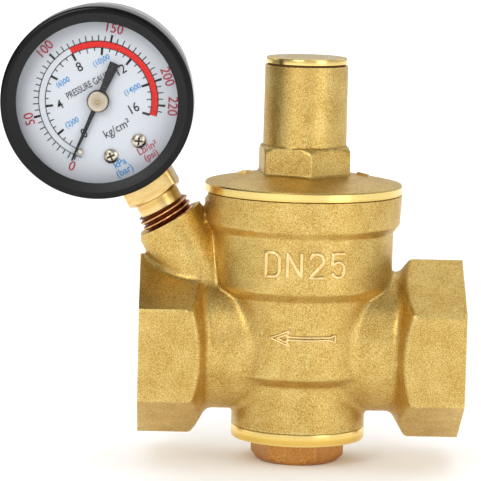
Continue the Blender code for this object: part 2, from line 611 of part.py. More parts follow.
def make_movement():
    front_plate = movement_plate("movement_front_plate", -1)
    for x in (-DIAL_SCREW[0], DIAL_SCREW[0]):
        place = (x, 0, DIAL_SCREW[1])
        add(front_plate, f"dial_post_{x}", disc(1.9, -8.4, -5.0, 20, "Y"), gauge_frame, place)
        cut(front_plate, f"dial_post_hole_{x}", disc(1.1, -9, -4, 16, "Y"), gauge_frame, place)
    movement_plate("movement_back_plate", 1)
    pillar = [(0, -6.1), (0.6, -6.1), (0.6, -4.5), (1.3, -4.5), (1.3, 4.5), (0.6, 4.5), (0.6, 6.1), (0, 6.1)]
    for index, (x, z) in enumerate(PILLARS, start=1):
        finish_mesh(f"movement_pillar_{index}", turned(pillar, 12, "Y"), gauge_frame, (x, 0, z), "turned_brass")
    for index, (x, z, side) in enumerate(MOVEMENT_SCREWS, start=1):
        screw = turned([(0, 6.9), (1.4, 6.9), (1.4, 5.9), (0.7, 5.9), (0.7, 2.6), (0, 2.6)], 12, "Y")
        finish_mesh(f"movement_screw_{index}", half_turn(screw) if side < 0 else screw, gauge_frame, (x, 0, z),
                    "stainless_steel")


def make_hairspring():
    """A flat spiral that takes up the backlash of the pinion."""
    turns, steps = 3, 48
    frames = []
    for i in range(steps + 1):
        angle = 2 * math.pi * turns * i / steps
        radius = 1.3 + 2.7 * i / steps
        outward = Vector((math.cos(angle), 0, math.sin(angle)))
        frames.append((outward * radius + Vector((0, -3.3, 0)), outward, (0, 1, 0)))
    finish_mesh("hairspring", sweep(frames, [(-0.08, -0.3), (0.08, -0.3), (0.08, 0.3), (-0.08, 0.3)]),
                gauge_frame, finish="spring_steel")


def make_pointer():
    """The pointer with its tail, lying at the zero stop, and the hub that holds it."""
    angle = math.radians(POINTER_REST)
    outward = Vector((-math.sin(angle), -math.cos(angle)))
    side = Vector((-outward.y, outward.x))
    shape = [(17.0, 0.22), (2.9, 0.62), (-2.6, 0.85), (-10.8, 1.3)]
    points = [outward * r + side * w for r, w in shape] + [outward * r - side * w for r, w in reversed(shape)]
    pointer = finish_mesh("pointer", plate([(p.x, p.y) for p in points], -10.9, -10.4), gauge_frame,
                          finish="black_paint")
    add(pointer, "pointer_disc", disc(2.9, -10.9, -10.4, 32, "Y"), gauge_frame)
    cut(pointer, "pointer_hole", disc(ARBOR_R + GAP, -12, -9, 20, "Y"), gauge_frame)
    hub = finish_mesh("pointer_hub", disc(2.64, -12.0, -11.1, 32, "Y"), gauge_frame, finish="stainless_steel")
    cut(hub, "hub_hole", disc(ARBOR_R + GAP, -11.6, -9, 20, "Y"), gauge_frame)


clear_scene()
gauge_frame = bpy.data.objects.new("gauge_frame", None)
bpy.context.collection.objects.link(gauge_frame)
gauge_frame.location = [value * MM for value in HUB]
gauge_frame.rotation_mode = "QUATERNION"
gauge_frame.rotation_quaternion = (Matrix.Rotation(math.radians(-STEM_TILT), 3, "Y")
                                   @ Matrix.Rotation(math.radians(-GAUGE_TURN), 3, "Z")).to_quaternion()

make_body()
make_bonnet()
make_cap()
make_adjuster()
make_spring()
make_piston()
make_bottom_plug()
make_gauge_socket()
make_gauge_case()
make_dial()
make_pinion()
make_sector()
make_link()
make_bourdon_tube()
make_tube_tip()
make_movement()
make_hairspring()
make_pointer()
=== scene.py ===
# %% [markdown]
# # A brass water pressure regulator, piece by piece
#
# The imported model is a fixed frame: every solid already stands in its place, and its joints are known.
# Here each visible piece gets its final surface. Lengths are written in millimetres, as on a drawing,
# and turned to metres only when a mesh is made.

# %% Load the frame
import math

import bmesh
import bpy
import numpy as np
from mathutils import Matrix, Vector


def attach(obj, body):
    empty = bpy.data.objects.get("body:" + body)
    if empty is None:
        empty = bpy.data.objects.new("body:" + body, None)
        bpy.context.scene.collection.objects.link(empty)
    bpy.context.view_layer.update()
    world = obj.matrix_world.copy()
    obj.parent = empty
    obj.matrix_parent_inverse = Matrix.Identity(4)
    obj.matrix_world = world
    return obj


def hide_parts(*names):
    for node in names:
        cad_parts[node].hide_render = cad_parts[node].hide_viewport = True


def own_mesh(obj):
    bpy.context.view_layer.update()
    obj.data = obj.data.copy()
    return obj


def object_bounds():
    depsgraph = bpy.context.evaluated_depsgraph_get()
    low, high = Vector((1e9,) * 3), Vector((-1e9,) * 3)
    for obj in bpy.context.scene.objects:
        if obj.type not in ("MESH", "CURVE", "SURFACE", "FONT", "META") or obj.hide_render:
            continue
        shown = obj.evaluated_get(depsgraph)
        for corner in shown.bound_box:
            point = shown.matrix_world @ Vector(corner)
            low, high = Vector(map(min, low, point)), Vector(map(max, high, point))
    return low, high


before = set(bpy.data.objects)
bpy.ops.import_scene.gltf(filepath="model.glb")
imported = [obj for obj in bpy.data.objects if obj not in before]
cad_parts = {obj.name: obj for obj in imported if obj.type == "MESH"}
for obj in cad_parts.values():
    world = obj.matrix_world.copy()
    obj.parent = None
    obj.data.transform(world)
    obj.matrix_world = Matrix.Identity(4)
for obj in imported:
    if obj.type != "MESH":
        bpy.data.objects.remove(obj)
cad_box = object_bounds()
MM = 0.001

# %% [markdown]
# ## Camera
#
# The valve is seen from slightly above, nearly square to its front, through a long lens, so upright
# edges stay nearly parallel. The gauge stands to the left, so the camera looks at a point left of the
# spindle. A camera can be aimed with a Track To constraint, but three plain turns keep the small roll
# that a hand-held view has.

# %% Camera
CAMERA_PLACE = (-33.3, -841.5, 140.2)
CAMERA_TURN = -1.16         # degrees about the vertical
CAMERA_PITCH = 7.61         # degrees below the horizon
CAMERA_ROLL = 1.37          # degrees about the line of sight
SENSOR = 36.0
LENS = 241.1                # millimetres


def make_camera():
    """A long lens, aimed by three turns."""
    data = bpy.data.cameras.new("camera")
    data.lens = LENS
    data.sensor_width = SENSOR
    data.clip_start = 0.05
    data.clip_end = 20.0
    camera = bpy.data.objects.new("camera", data)
    bpy.context.collection.objects.link(camera)
    camera.location = Vector(CAMERA_PLACE) * MM
    aim = (Matrix.Rotation(math.radians(CAMERA_TURN), 3, "Z")
           @ Matrix.Rotation(math.radians(90 - CAMERA_PITCH), 3, "X")
           @ Matrix.Rotation(math.radians(CAMERA_ROLL), 3, "Z"))
    camera.rotation_euler = aim.to_euler()
    bpy.context.scene.camera = camera


make_camera()
print("camera at", CAMERA_PLACE, "with a lens of", LENS, "mm")

# %% [markdown]
# ## Colours
#
# A finish is chosen as an sRGB hex colour, as a paint card gives it, but a shader works in linear light.
# Blender's colour picker converts between the two. A script has to do it itself, in one function.

# %% Colours


def colour(code):
    """An sRGB hex colour such as "d9b560" as linear red, green and blue, with an alpha of one."""
    parts = [int(code[i:i + 2], 16) / 255 for i in (0, 2, 4)]
    return (*[c / 12.92 if c <= 0.04045 else ((c + 0.055) / 1.055) ** 2.4 for c in parts], 1.0)


print("gold as linear light:", [round(part, 3) for part in colour("d9b560")[:3]])

# %% [markdown]
# ## Nodes
#
# A material is a small tree of nodes. Each could be added by hand in the editor, but one helper that takes
# a node's settings and links keeps a finish readable, from its pattern down to the shader. Patterns are
# sized in real millimetres, so that a grain stays the same on a large piece and on a small one.

# %% Nodes


def fill_inputs(tree, node, links):
    """Give a node's inputs their values, or other nodes' outputs as (node, output)."""
    for key, value in links.items():
        if isinstance(value, tuple) and isinstance(value[0], bpy.types.Node):
            tree.links.new(value[0].outputs[value[1]], node.inputs[key])
        else:
            node.inputs[key].default_value = value


def add_node(tree, kind, settings=None, links=None):
    """Add one node: settings are its attributes, or stops for a colour ramp; links fill its inputs."""
    made = tree.nodes.new(kind)
    for key, value in (settings or {}).items():
        if key != "stops":
            setattr(made, key, value)
            continue
        elements = made.color_ramp.elements
        while len(elements) < len(value):
            elements.new(0.5)
        for element, (place, shade) in zip(elements, value):
            element.position = place
            element.color = shade if isinstance(shade, tuple) else (shade, shade, shade, 1.0)
    fill_inputs(tree, made, links or {})
    return made


def new_material(name, **sockets):
    """A material with one Principled shader; sockets sets its values, underscores for spaces."""
    made = bpy.data.materials.new(name)
    made.use_nodes = True
    shader = made.node_tree.nodes["Principled BSDF"]
    fill_inputs(made.node_tree, shader, {key.replace("_", " "): value for key, value in sockets.items()})
    return made, made.node_tree, shader


def per_metre(size_mm):
    """How many features of this size lie in a metre: the Scale of a pattern."""
    return 1.0 / (size_mm * MM)


print("a grain of 0.3 mm has a scale of", round(per_metre(0.3)))

# %% [markdown]
# ## A finish with one grain
#
# Enamel, ink, rubber and fibre have one thing in common: a single fine texture from the way they were
# made, which shows in their colour, their gloss and their height at once. One function makes them all, and
# each gets its own grain and its own range of gloss.

# %% A finish with one grain


def grained_finish(name, dark, light, grain_mm, smooth, rough, depth_mm=0.0, detail=3.0, **sockets):
    """A finish with one grain, which moves its colour, its roughness and its height together."""
    made, tree, shader = new_material(name, **sockets)
    place = add_node(tree, "ShaderNodeTexCoord")
    grain = add_node(tree, "ShaderNodeTexNoise", {}, {
        "Vector": (place, "Object"), "Scale": per_metre(grain_mm), "Detail": detail, "Roughness": 0.6})
    tone = add_node(tree, "ShaderNodeValToRGB", {"stops": [(0.3, colour(dark)), (0.7, colour(light))]}, {
        "Fac": (grain, "Fac")})
    gloss = add_node(tree, "ShaderNodeValToRGB", {"stops": [(0.3, smooth), (0.7, rough)]}, {
        "Fac": (grain, "Fac")})
    fill_inputs(tree, shader, {"Base Color": (tone, "Color"), "Roughness": (gloss, "Color")})
    if depth_mm:
        dents = add_node(tree, "ShaderNodeBump", {}, {
            "Height": (grain, "Fac"), "Distance": depth_mm * MM, "Strength": 1.0})
        fill_inputs(tree, shader, {"Normal": (dents, "Normal")})
    return made


print("one-grain finishes ready")

# %% [markdown]
# ## Floor
#
# The floor is one pale painted sheet, just under the lowest face of the valve, so that it catches a soft
# shadow and throws light up into the casting.

# %% Floor
FLOOR_Z = cad_box[0][2] / MM
FLOOR_HALF = 3.0            # metres from the middle to an edge
FLOOR_GAP = 0.05            # keeps the sheet clear of the plug's face


def make_floor():
    """A wide sheet in matt paint, with clouds as a roller leaves them."""
    bm = bmesh.new()
    bmesh.ops.create_grid(bm, x_segments=2, y_segments=2, size=FLOOR_HALF)
    mesh = bpy.data.meshes.new("floor")
    bm.to_mesh(mesh)
    bm.free()
    floor = bpy.data.objects.new("floor", mesh)
    floor.location.z = (FLOOR_Z - FLOOR_GAP) * MM
    bpy.context.collection.objects.link(floor)
    pale, tree, shader = new_material("pale_floor_paint", Roughness=0.85, Specular_IOR_Level=0.1)
    place = add_node(tree, "ShaderNodeTexCoord")
    clouds = add_node(tree, "ShaderNodeTexNoise", {}, {
        "Vector": (place, "Object"), "Scale": per_metre(60.0), "Detail": 4.0, "Roughness": 0.6})
    tints = [(0.3, colour("fbfbfb")), (0.7, colour("ffffff"))]
    tint = add_node(tree, "ShaderNodeValToRGB", {"stops": tints}, {"Fac": (clouds, "Fac")})
    fill_inputs(tree, shader, {"Base Color": (tint, "Color")})
    mesh.materials.append(pale)


make_floor()
print("floor at", round(FLOOR_Z, 2), "mm")

# %% [markdown]
# ## Lamps
#
# A metal shows only what it reflects, so the light is the larger part of its look. Broad soft lamps stand
# left, right and above, and their edges draw the bright and dark bands on the turned faces. A fourth
# lights the floor far behind, so that it stays pale to its edge.

# %% Lamps
AIM = (-15, 0, 25)          # the middle of the barrel, a little towards the gauge


def make_lamp(name, place, size, power, target=AIM):
    """A rectangular area lamp, sizes in millimetres and power in watts."""
    data = bpy.data.lights.new(name, "AREA")
    data.shape = "RECTANGLE"
    data.size, data.size_y = size[0] * MM, size[1] * MM
    data.energy = power
    lamp = bpy.data.objects.new(name, data)
    lamp.location = Vector(place) * MM
    away = Vector(target) * MM - lamp.location
    lamp.rotation_euler = away.to_track_quat("-Z", "Y").to_euler()
    bpy.context.collection.objects.link(lamp)


make_lamp("key_left", (-330, -680, 420), (360, 480), 2.4)
make_lamp("fill_right", (480, -560, 220), (320, 520), 0.9)
make_lamp("top", (60, 120, 620), (420, 300), 0.45)
make_lamp("floor_wash", (0, 1300, 900), (2400, 1600), 9.0, target=(0, 1300, 0))
print("lamps:", len(bpy.data.lights))

# %% [markdown]
# ## The studio round it
#
# Lamps alone would leave the rest of a brass face black, so the studio round them is grey. It is dimmer
# on one side and overhead, which gives the casting its shape. An environment image could do this too, but
# two ramps over the direction are enough.

# %% Studio


def make_world():
    """A studio: dim to the left and overhead, brighter in front and to the right."""
    world = bpy.data.worlds.new("studio")
    world.use_nodes = True
    tree = world.node_tree
    place = add_node(tree, "ShaderNodeTexCoord")
    split = add_node(tree, "ShaderNodeSeparateXYZ", {}, {"Vector": (place, "Generated")})
    side = add_node(tree, "ShaderNodeMapRange", {}, {
        "Value": (split, "X"), "From Min": -1.0, "From Max": 0.2})
    height = add_node(tree, "ShaderNodeMapRange", {}, {
        "Value": (split, "Z"), "From Min": 0.9, "From Max": 0.2})
    wide = add_node(tree, "ShaderNodeValToRGB", {"stops": [(0.0, 0.22), (0.35, 0.46), (1.0, 0.58)]}, {
        "Fac": (side, "Result")})
    tall = add_node(tree, "ShaderNodeValToRGB", {"stops": [(0.0, 0.45), (1.0, 1.0)]}, {
        "Fac": (height, "Result")})
    both = add_node(tree, "ShaderNodeMath", {"operation": "MULTIPLY"}, {
        0: (wide, "Color"), 1: (tall, "Color")})
    # the metal reflects that studio, but the background and all matt paint get an even white
    path = add_node(tree, "ShaderNodeLightPath")
    even = add_node(tree, "ShaderNodeMath", {"operation": "MAXIMUM"}, {
        0: (path, "Is Camera Ray"), 1: (path, "Is Diffuse Ray")})
    shown = add_node(tree, "ShaderNodeMix", {"data_type": "FLOAT"}, {
        "Factor": (even, "Value"), "A": (both, "Value"), "B": 0.95})
    fill_inputs(tree, tree.nodes["Background"], {"Color": (shown, "Result")})
    bpy.context.scene.world = world


make_world()
bpy.context.scene.view_settings.view_transform = "Standard"
print("world:", bpy.context.scene.world.name)

# %% [markdown]
# ## Where the gauge stands
#
# The gauge screws into a tilted boss. Everything on it is made in its own frame, with the hub of the
# pointer at the origin, the dial facing -Y and the stem pointing down, and is then moved here by one
# matrix. Its lathe marks need the same place and tilt.

# %% Gauge frame
HUB = (-53.7, 0.0, 65.0)
STEM_TILT = 30.1            # degrees from the vertical
GAUGE_TURN = 3.0            # how far the gauge was screwed past square, in degrees
GAUGE_AIM = (Matrix.Rotation(math.radians(-STEM_TILT), 3, "Y")
             @ Matrix.Rotation(math.radians(-GAUGE_TURN), 3, "Z"))
GAUGE_EULER = tuple(GAUGE_AIM.to_euler())
GAUGE_PLACE = Matrix.Translation(HUB) @ GAUGE_AIM.to_4x4()
print("gauge hub at", HUB)

# %% [markdown]
# ## Cast brass
#
# The body is a sand casting in brass, blasted with fine grit after fettling: a yellow metal with a dry
# satin sheen. The grit leaves dents of about a tenth of a millimetre, too fine to show, so they are drawn
# 0.3 mm wide. The sand of the mould leaves slow clouds under them. An image could be wrapped on, but
# noise in real millimetres covers every side alike.

# %% Cast brass


def cast_brass(name, light, mid, dark, roughness=0.40, grain_mm=0.30, depth_mm=0.030):
    """Sand-cast brass after grit blasting: grain from the grit, clouds from the mould."""
    made, tree, shader = new_material(name, Metallic=1.0)
    place = add_node(tree, "ShaderNodeTexCoord")
    clouds, grit, speck = [
        add_node(tree, "ShaderNodeTexNoise", {}, {
            "Vector": (place, "Object"), "Scale": per_metre(size_mm), "Detail": detail, "Roughness": rough})
        for size_mm, detail, rough in ((6.0, 3.0, 0.6), (grain_mm, 3.0, 0.65), (grain_mm * 2.6, 2.0, 0.5))]
    mixed = add_node(tree, "ShaderNodeMix", {"data_type": "FLOAT"}, {
        "Factor": 0.8, "A": (clouds, "Fac"), "B": (grit, "Fac")})
    tones = [(0.36, colour(dark)), (0.50, colour(mid)), (0.62, colour(light))]
    tone = add_node(tree, "ShaderNodeValToRGB", {"stops": tones}, {"Fac": (mixed, "Result")})
    # painted shade in the creases and a painted highlight on the convex edges, read from the mesh's
    # pointiness
    shape = add_node(tree, "ShaderNodeNewGeometry")
    crease_shade_edge_highlight_stops = [(0.42, colour("dcba8c")), (0.48, colour("efe4d2")), (0.52, colour("efe4d2")),
             (0.57, colour("ffffff"))]
    crease_shade_edge_highlight_ramp = add_node(tree, "ShaderNodeValToRGB", {"stops": crease_shade_edge_highlight_stops}, {"Fac": (shape, "Pointiness")})
    toned = add_node(tree, "ShaderNodeMix", {"data_type": "RGBA", "blend_type": "MULTIPLY"}, {
        "Factor": 1.0, 6: (tone, "Color"), 7: (crease_shade_edge_highlight_ramp, "Color")})
    roughs = [(0.3, roughness - 0.06), (0.7, roughness + 0.08)]
    gloss = add_node(tree, "ShaderNodeValToRGB", {"stops": roughs}, {"Fac": (speck, "Fac")})
    coarse = add_node(tree, "ShaderNodeBump", {}, {
        "Height": (speck, "Fac"), "Distance": depth_mm * 1.6 * MM, "Strength": 1.0})
    fine = add_node(tree, "ShaderNodeBump", {}, {
        "Height": (grit, "Fac"), "Distance": depth_mm * MM, "Strength": 1.0, "Normal": (coarse, "Normal")})
    fill_inputs(tree, shader, {
        "Base Color": (toned, 2), "Roughness": (gloss, "Color"), "Normal": (fine, "Normal")})
    return made


blasted_brass = cast_brass("sand_cast_brass_blasted", "f6e8a8", "dfc477", "b59248", 0.42)
# the raised marks get a lighter copy of the cast brass: a painted highlight
highlit_mark_brass = cast_brass("sand_cast_brass_mark_painted_highlight", "fff0bd", "f0d594", "d8b468", 0.36)
# the plug's hexagon gets a darker, browner copy of the cast brass: painted shade
plug_brass_painted_shade = cast_brass("cast_brass_plug_painted_shade", "e6b478", "d49e5c", "b47f42", 0.38)
print("cast finishes:", blasted_brass.name, highlit_mark_brass.name, plug_brass_painted_shade.name)

# %% [markdown]
# ## Turned metal
#
# A lathe tool leaves a fine screw line, which the eye takes as rings round the axis. The rings come from
# noise that is read by the distance from the axis and the height along it, so they follow any turned
# shape. Real feed marks lie about 0.1 mm apart. They are drawn twice as wide so that they show.

# %% Turned metal


def ring_coordinate(tree, axis, origin=(0, 0, 0), tilt=None):
    """A vector of (distance from a turning axis, height along it) in metres, for lathe marks."""
    place = add_node(tree, "ShaderNodeTexCoord")
    moved = add_node(tree, "ShaderNodeMapping", {"vector_type": "TEXTURE"}, {
        "Vector": (place, "Object"), "Location": [v * MM for v in origin], "Rotation": tilt or (0, 0, 0)})
    split = add_node(tree, "ShaderNodeSeparateXYZ", {}, {"Vector": (moved, "Vector")})
    names = ["X", "Y", "Z"]
    names.remove(axis)
    flat = add_node(tree, "ShaderNodeCombineXYZ", {}, {"X": (split, names[0]), "Y": (split, names[1])})
    radius = add_node(tree, "ShaderNodeVectorMath", {"operation": "LENGTH"}, {0: (flat, "Vector")})
    return add_node(tree, "ShaderNodeCombineXYZ", {}, {"X": (radius, "Value"), "Y": (split, axis)})


def turned_metal(name, light, dark, axis, roughness=0.18, origin=(0, 0, 0), tilt=None, pitch_mm=0.22,
                 depth_mm=0.004):
    """A lathe-turned face: rings round the axis, a feed pitch apart."""
    made, tree, shader = new_material(name, Metallic=1.0)
    rings = ring_coordinate(tree, axis, origin, tilt)
    feed, broad = [
        add_node(tree, "ShaderNodeTexNoise", {}, {
            "Vector": (rings, "Vector"), "Scale": per_metre(size_mm), "Detail": 2.0, "Roughness": 0.5})
        for size_mm in (pitch_mm, pitch_mm * 9)]
    tone = add_node(tree, "ShaderNodeValToRGB", {"stops": [(0.35, colour(dark)), (0.65, colour(light))]}, {
        "Fac": (broad, "Fac")})
    roughs = [(0.3, roughness - 0.05), (0.7, roughness + 0.09)]
    gloss = add_node(tree, "ShaderNodeValToRGB", {"stops": roughs}, {"Fac": (feed, "Fac")})
    marks = add_node(tree, "ShaderNodeBump", {}, {
        "Height": (feed, "Fac"), "Distance": depth_mm * MM, "Strength": 1.0})
    fill_inputs(tree, shader, {
        "Base Color": (tone, "Color"), "Roughness": (gloss, "Color"), "Normal": (marks, "Normal")})
    return made


turned_brass = turned_metal("turned_brass", "f8de90", "e6c062", "Z", 0.22, depth_mm=0.0015)
socket_brass = turned_metal("turned_brass_pipe_socket", "fbe09a", "e2b65c", "X", 0.24)
gauge_brass = turned_metal("turned_brass_gauge_stem", "ecd092", "d9b46b", "Z", 0.3, HUB, GAUGE_EULER)
print("turned finishes:", turned_brass.name, socket_brass.name, gauge_brass.name)

# %% [markdown]
# ## Shapes from outlines
#
# Most pieces start as a flat outline. Lathe work is that outline spun about an axis. The spin could be a
# Screw modifier, but bmesh gives a plain mesh at once, which can then be cut.

# %% Shapes from outlines
CREASE = 35                 # edges sharper than this many degrees stay crisp
TO_AXIS = {"X": Matrix.Rotation(math.pi / 2, 4, "Y"), "Y": Matrix.Rotation(-math.pi / 2, 4, "X"),
           "Z": Matrix.Identity(4)}


def link_mesh(name, bm, finish=None):
    """Make an object from a bmesh in millimetres."""
    bmesh.ops.scale(bm, vec=(MM, MM, MM), verts=bm.verts)
    mesh = bpy.data.meshes.new(name)
    bm.to_mesh(mesh)
    bm.free()
    mesh.shade_smooth()
    mesh.set_sharp_from_angle(angle=math.radians(CREASE))
    made = bpy.data.objects.new(name, mesh)
    bpy.context.collection.objects.link(made)
    if finish:
        mesh.materials.append(finish)
    return made


def turned(outline, steps=96, axis="Z", closed=False, place=None):
    """A solid of revolution from (radius, height) points."""
    bm = bmesh.new()
    verts = [bm.verts.new((radius, 0.0, height)) for radius, height in outline]
    pairs = list(zip(verts, verts[1:]))
    if closed:
        pairs.append((verts[-1], verts[0]))
    edges = [bm.edges.new(pair) for pair in pairs]
    bmesh.ops.spin(bm, geom=verts + edges, cent=(0, 0, 0), axis=(0, 0, 1), angle=2 * math.pi,
                   steps=steps, use_merge=True, use_duplicate=False)
    bmesh.ops.remove_doubles(bm, verts=bm.verts, dist=1e-4)
    bmesh.ops.recalc_face_normals(bm, faces=bm.faces)
    bmesh.ops.transform(bm, matrix=(place or Matrix.Identity(4)) @ TO_AXIS[axis], verts=bm.verts)
    return bm


print("lathe helper ready, creases above", CREASE, "degrees")

# %% [markdown]
# ## Rounded outlines and bar stock
#
# A tool has a nose radius, so a turned corner is never quite sharp. The corners of an outline are rounded
# before it is spun, which costs fewer faces than a bevel afterwards. Bar stock is an outline pushed
# straight up, and its corners are rounded in the same way.

# %% Rounded outlines and bar stock


def rounded(outline, radii, steps=5, closed=False):
    """Round the corners of a polyline; radii is one number or one for each point."""
    count = len(outline)
    if not hasattr(radii, "__len__"):
        radii = [radii] * count
    points = []
    for i, corner in enumerate(outline):
        if radii[i] <= 0 or (not closed and i in (0, count - 1)):
            points.append(corner)
            continue
        here = Vector(corner)
        before = Vector(outline[i - 1]) - here
        after = Vector(outline[(i + 1) % count]) - here
        half = before.angle(after) / 2
        reach = min(radii[i] / math.tan(half), before.length * 0.49, after.length * 0.49)
        start, end = here + before.normalized() * reach, here + after.normalized() * reach
        for k in range(steps + 1):
            t = k / steps
            points.append(tuple(start * (1 - t) ** 2 + here * 2 * t * (1 - t) + end * t * t))
    return points


def prism(outline, low, high, place=None):
    """A straight solid from a closed outline in XY."""
    bm = bmesh.new()
    base = bm.faces.new([bm.verts.new((x, y, low)) for x, y in outline])
    grown = bmesh.ops.extrude_face_region(bm, geom=[base])
    top = [item for item in grown["geom"] if isinstance(item, bmesh.types.BMVert)]
    bmesh.ops.translate(bm, vec=(0, 0, high - low), verts=top)
    bmesh.ops.recalc_face_normals(bm, faces=bm.faces)
    if place:
        bmesh.ops.transform(bm, matrix=place, verts=bm.verts)
    return bm


def polygon(sides, across_flats, first=0.0):
    """The corners of a regular polygon, the first at an angle in degrees."""
    radius = across_flats / 2 / math.cos(math.pi / sides)
    return [(radius * math.cos(math.radians(first) + 2 * math.pi * i / sides),
             radius * math.sin(math.radians(first) + 2 * math.pi * i / sides)) for i in range(sides)]


print("a hexagon of 10 mm has its corners", round(polygon(6, 10.0)[0][0], 3), "mm out")

# %% [markdown]
# ## Cutting and joining
#
# Bores, slots and threads are cut with Booleans, as a drill or a tap would cut them. The modifiers are
# baked at once, so that the next step works on real faces. A piece can also get a second finish where
# one tool has touched it, and at the end it is tied to its body and the solids it stands for.

# %% Cutting and joining


def apply_modifiers(piece):
    """Bake a piece's modifiers into its mesh."""
    bpy.context.view_layer.update()
    baked = bpy.data.meshes.new_from_object(piece.evaluated_get(bpy.context.evaluated_depsgraph_get()))
    old = piece.data
    piece.modifiers.clear()
    piece.data = baked
    bpy.data.meshes.remove(old)
    return piece


def combine(piece, tools, operation="DIFFERENCE"):
    """Cut with, or join, closed tool meshes; the tools are used up."""
    for cutter in tools:
        step = piece.modifiers.new(cutter.name, "BOOLEAN")
        step.operation = operation
        step.solver = "MANIFOLD"
        step.object = cutter
    apply_modifiers(piece)
    for cutter in tools:
        bpy.data.objects.remove(cutter, do_unlink=True)
    return piece


def second_finish(piece, finish, inside):
    """Give another finish to the faces whose centres, in millimetres, pass a test."""
    materials = [m for m in piece.data.materials if m]
    piece.data.materials.clear()
    for material in materials + [finish]:
        piece.data.materials.append(material)
    for face in piece.data.polygons:
        face.material_index = len(materials) if inside(face.center / MM) else 0


def settle(piece, body, slot, *nodes, sharp=None):
    """Ride a body and stand for the named nodes; the slot is not used."""
    if sharp:
        piece.data.shade_smooth()
        piece.data.set_sharp_from_angle(angle=math.radians(sharp))
    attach(piece, body)
    if nodes:
        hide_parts(*nodes)
    return piece


print("cutting helpers ready")

# %% [markdown]
# ## Castings from a distance field
#
# A casting has no sharp corners: its edges are rounded and its inner corners filled. Bevels fail where
# many fillets meet, so the castings come from a distance field, a formula that says how far a point lies
# outside the shape. Two shapes blend where the smaller distance takes over gradually, which is just what
# a fillet does.

# %% Castings from a distance field


def polygon_field(u, v, corners):
    """Signed distance from points (u, v) to a closed polygon, negative inside."""
    corners = np.asarray(corners, float)
    nearest = np.full(u.shape, 1e18)
    sign = np.ones(u.shape)
    for a, b in zip(corners, np.roll(corners, 1, axis=0)):
        edge = b - a
        wu, wv = u - a[0], v - a[1]
        share = np.clip((wu * edge[0] + wv * edge[1]) / edge.dot(edge), 0, 1)
        nearest = np.minimum(nearest, (wu - edge[0] * share) ** 2 + (wv - edge[1] * share) ** 2)
        above_a, below_b = v >= a[1], v < b[1]
        left = edge[0] * wv > edge[1] * wu
        flips = (above_a & below_b & left) | (~above_a & ~below_b & ~left)
        sign = np.where(flips, -sign, sign)
    return sign * np.sqrt(nearest)


def join_fields(a, b, fillet):
    """The union of two fields with a fillet where they meet."""
    share = np.clip(0.5 + 0.5 * (b - a) / fillet, 0, 1)
    return b + (a - b) * share - fillet * share * (1 - share)


def meet_fields(a, b, soft):
    """The overlap of two fields with a softened edge."""
    return -join_fields(-a, -b, soft)


print("field helpers ready")

# %% [markdown]
# ## From a field to a mesh
#
# A field has no faces of its own. Rough shapes are overlapped, a voxel remesh turns them into one even
# skin, and each vertex slides down the slope of the field until it lies on the surface. Between slides the
# skin is evened, because crowded faces would show as lumps in a glossy metal.

# %% From a field to a mesh
FIELD_STEP = 0.02           # millimetres, to feel the slope of a field
LARGEST_SLIDE = 1.5         # a vertex moves no further than this in one slide
EVENING = 0.6               # how far a vertex moves to the middle of its neighbours


def cast_mesh(name, shapes, field, grain, finish, rounds=3):
    """Remesh a rough union of shapes into even faces, then slide each vertex onto the field."""
    rough = bmesh.new()
    for shape in shapes:
        part = bpy.data.meshes.new("rough")
        shape.to_mesh(part)
        shape.free()
        rough.from_mesh(part)
        bpy.data.meshes.remove(part)
    piece = link_mesh(name, rough, finish)
    step = piece.modifiers.new("remesh", "REMESH")
    step.mode = "VOXEL"
    step.voxel_size = grain * MM
    apply_modifiers(piece)
    count = len(piece.data.vertices)
    points = np.empty(count * 3)
    piece.data.vertices.foreach_get("co", points)
    points = points.reshape(-1, 3) / MM
    edges = np.empty(len(piece.data.edges) * 2, int)
    piece.data.edges.foreach_get("vertices", edges)
    edges = edges.reshape(-1, 2)
    degree = np.bincount(edges.ravel(), minlength=count)[:, None]
    for turn in range(rounds):
        for _ in range(3):
            value = field(points)
            moves = np.eye(3) * FIELD_STEP
            slope = np.stack([(field(points + move) - value) / FIELD_STEP for move in moves], 1)
            size = np.maximum((slope ** 2).sum(1, keepdims=True), 0.05)
            points = points - np.clip(value[:, None] * slope / size, -LARGEST_SLIDE, LARGEST_SLIDE)
        if turn < rounds - 1:
            total = np.zeros_like(points)
            for axis in range(3):
                total[:, axis] = (np.bincount(edges[:, 0], points[edges[:, 1], axis], count)
                                  + np.bincount(edges[:, 1], points[edges[:, 0], axis], count))
            points = points * (1 - EVENING) + total / degree * EVENING
    piece.data.vertices.foreach_set("co", (points * MM).ravel())
    piece.data.update()
    piece.data.shade_smooth()
    if finish and not piece.data.materials:
        piece.data.materials.append(finish)
    print(name, len(piece.data.polygons), "faces")
    return piece


print("casting helpers ready")

# %% [markdown]
# ## The cast body
#
# One casting: a stepped barrel round the spindle, a neck along the pipe, a wrench hexagon with a cone
# behind it at each end, and a tilted boss for the gauge. The foundry leaves fillets of one to two
# millimetres between them. A field of each is written down here, and then they are blended.

# %% Body field
HALF_LENGTH = 42.5
HEX_FLATS = 41.5
NECK_R = 16.8
BODY_TOP, BODY_BOTTOM = 41.0, -20.6
SEAT_TOP = 6.0
BOSS_MOUTH = 36.8           # down the stem from the hub
BOSS_R = 9.3
CORNER_SOFT = 0.9           # rounding of the cast corners
BARREL = [(0, -23.0), (17.6, -23.0), (17.6, -8.4), (21.5, -5.7), (21.5, 14.5), (23.9, 17.0),
          (23.9, 31.2), (25.6, 33.2), (26.0, BODY_TOP), (26.0, 43.5), (0, 43.5)]
barrel_outline = rounded(BARREL, [0, 0, 1.2, 0.8, 1.2, 0.8, 1.2, 0.7, 0, 0, 0])
down_stem = np.array([math.sin(math.radians(STEM_TILT)), 0, -math.cos(math.radians(STEM_TILT))])


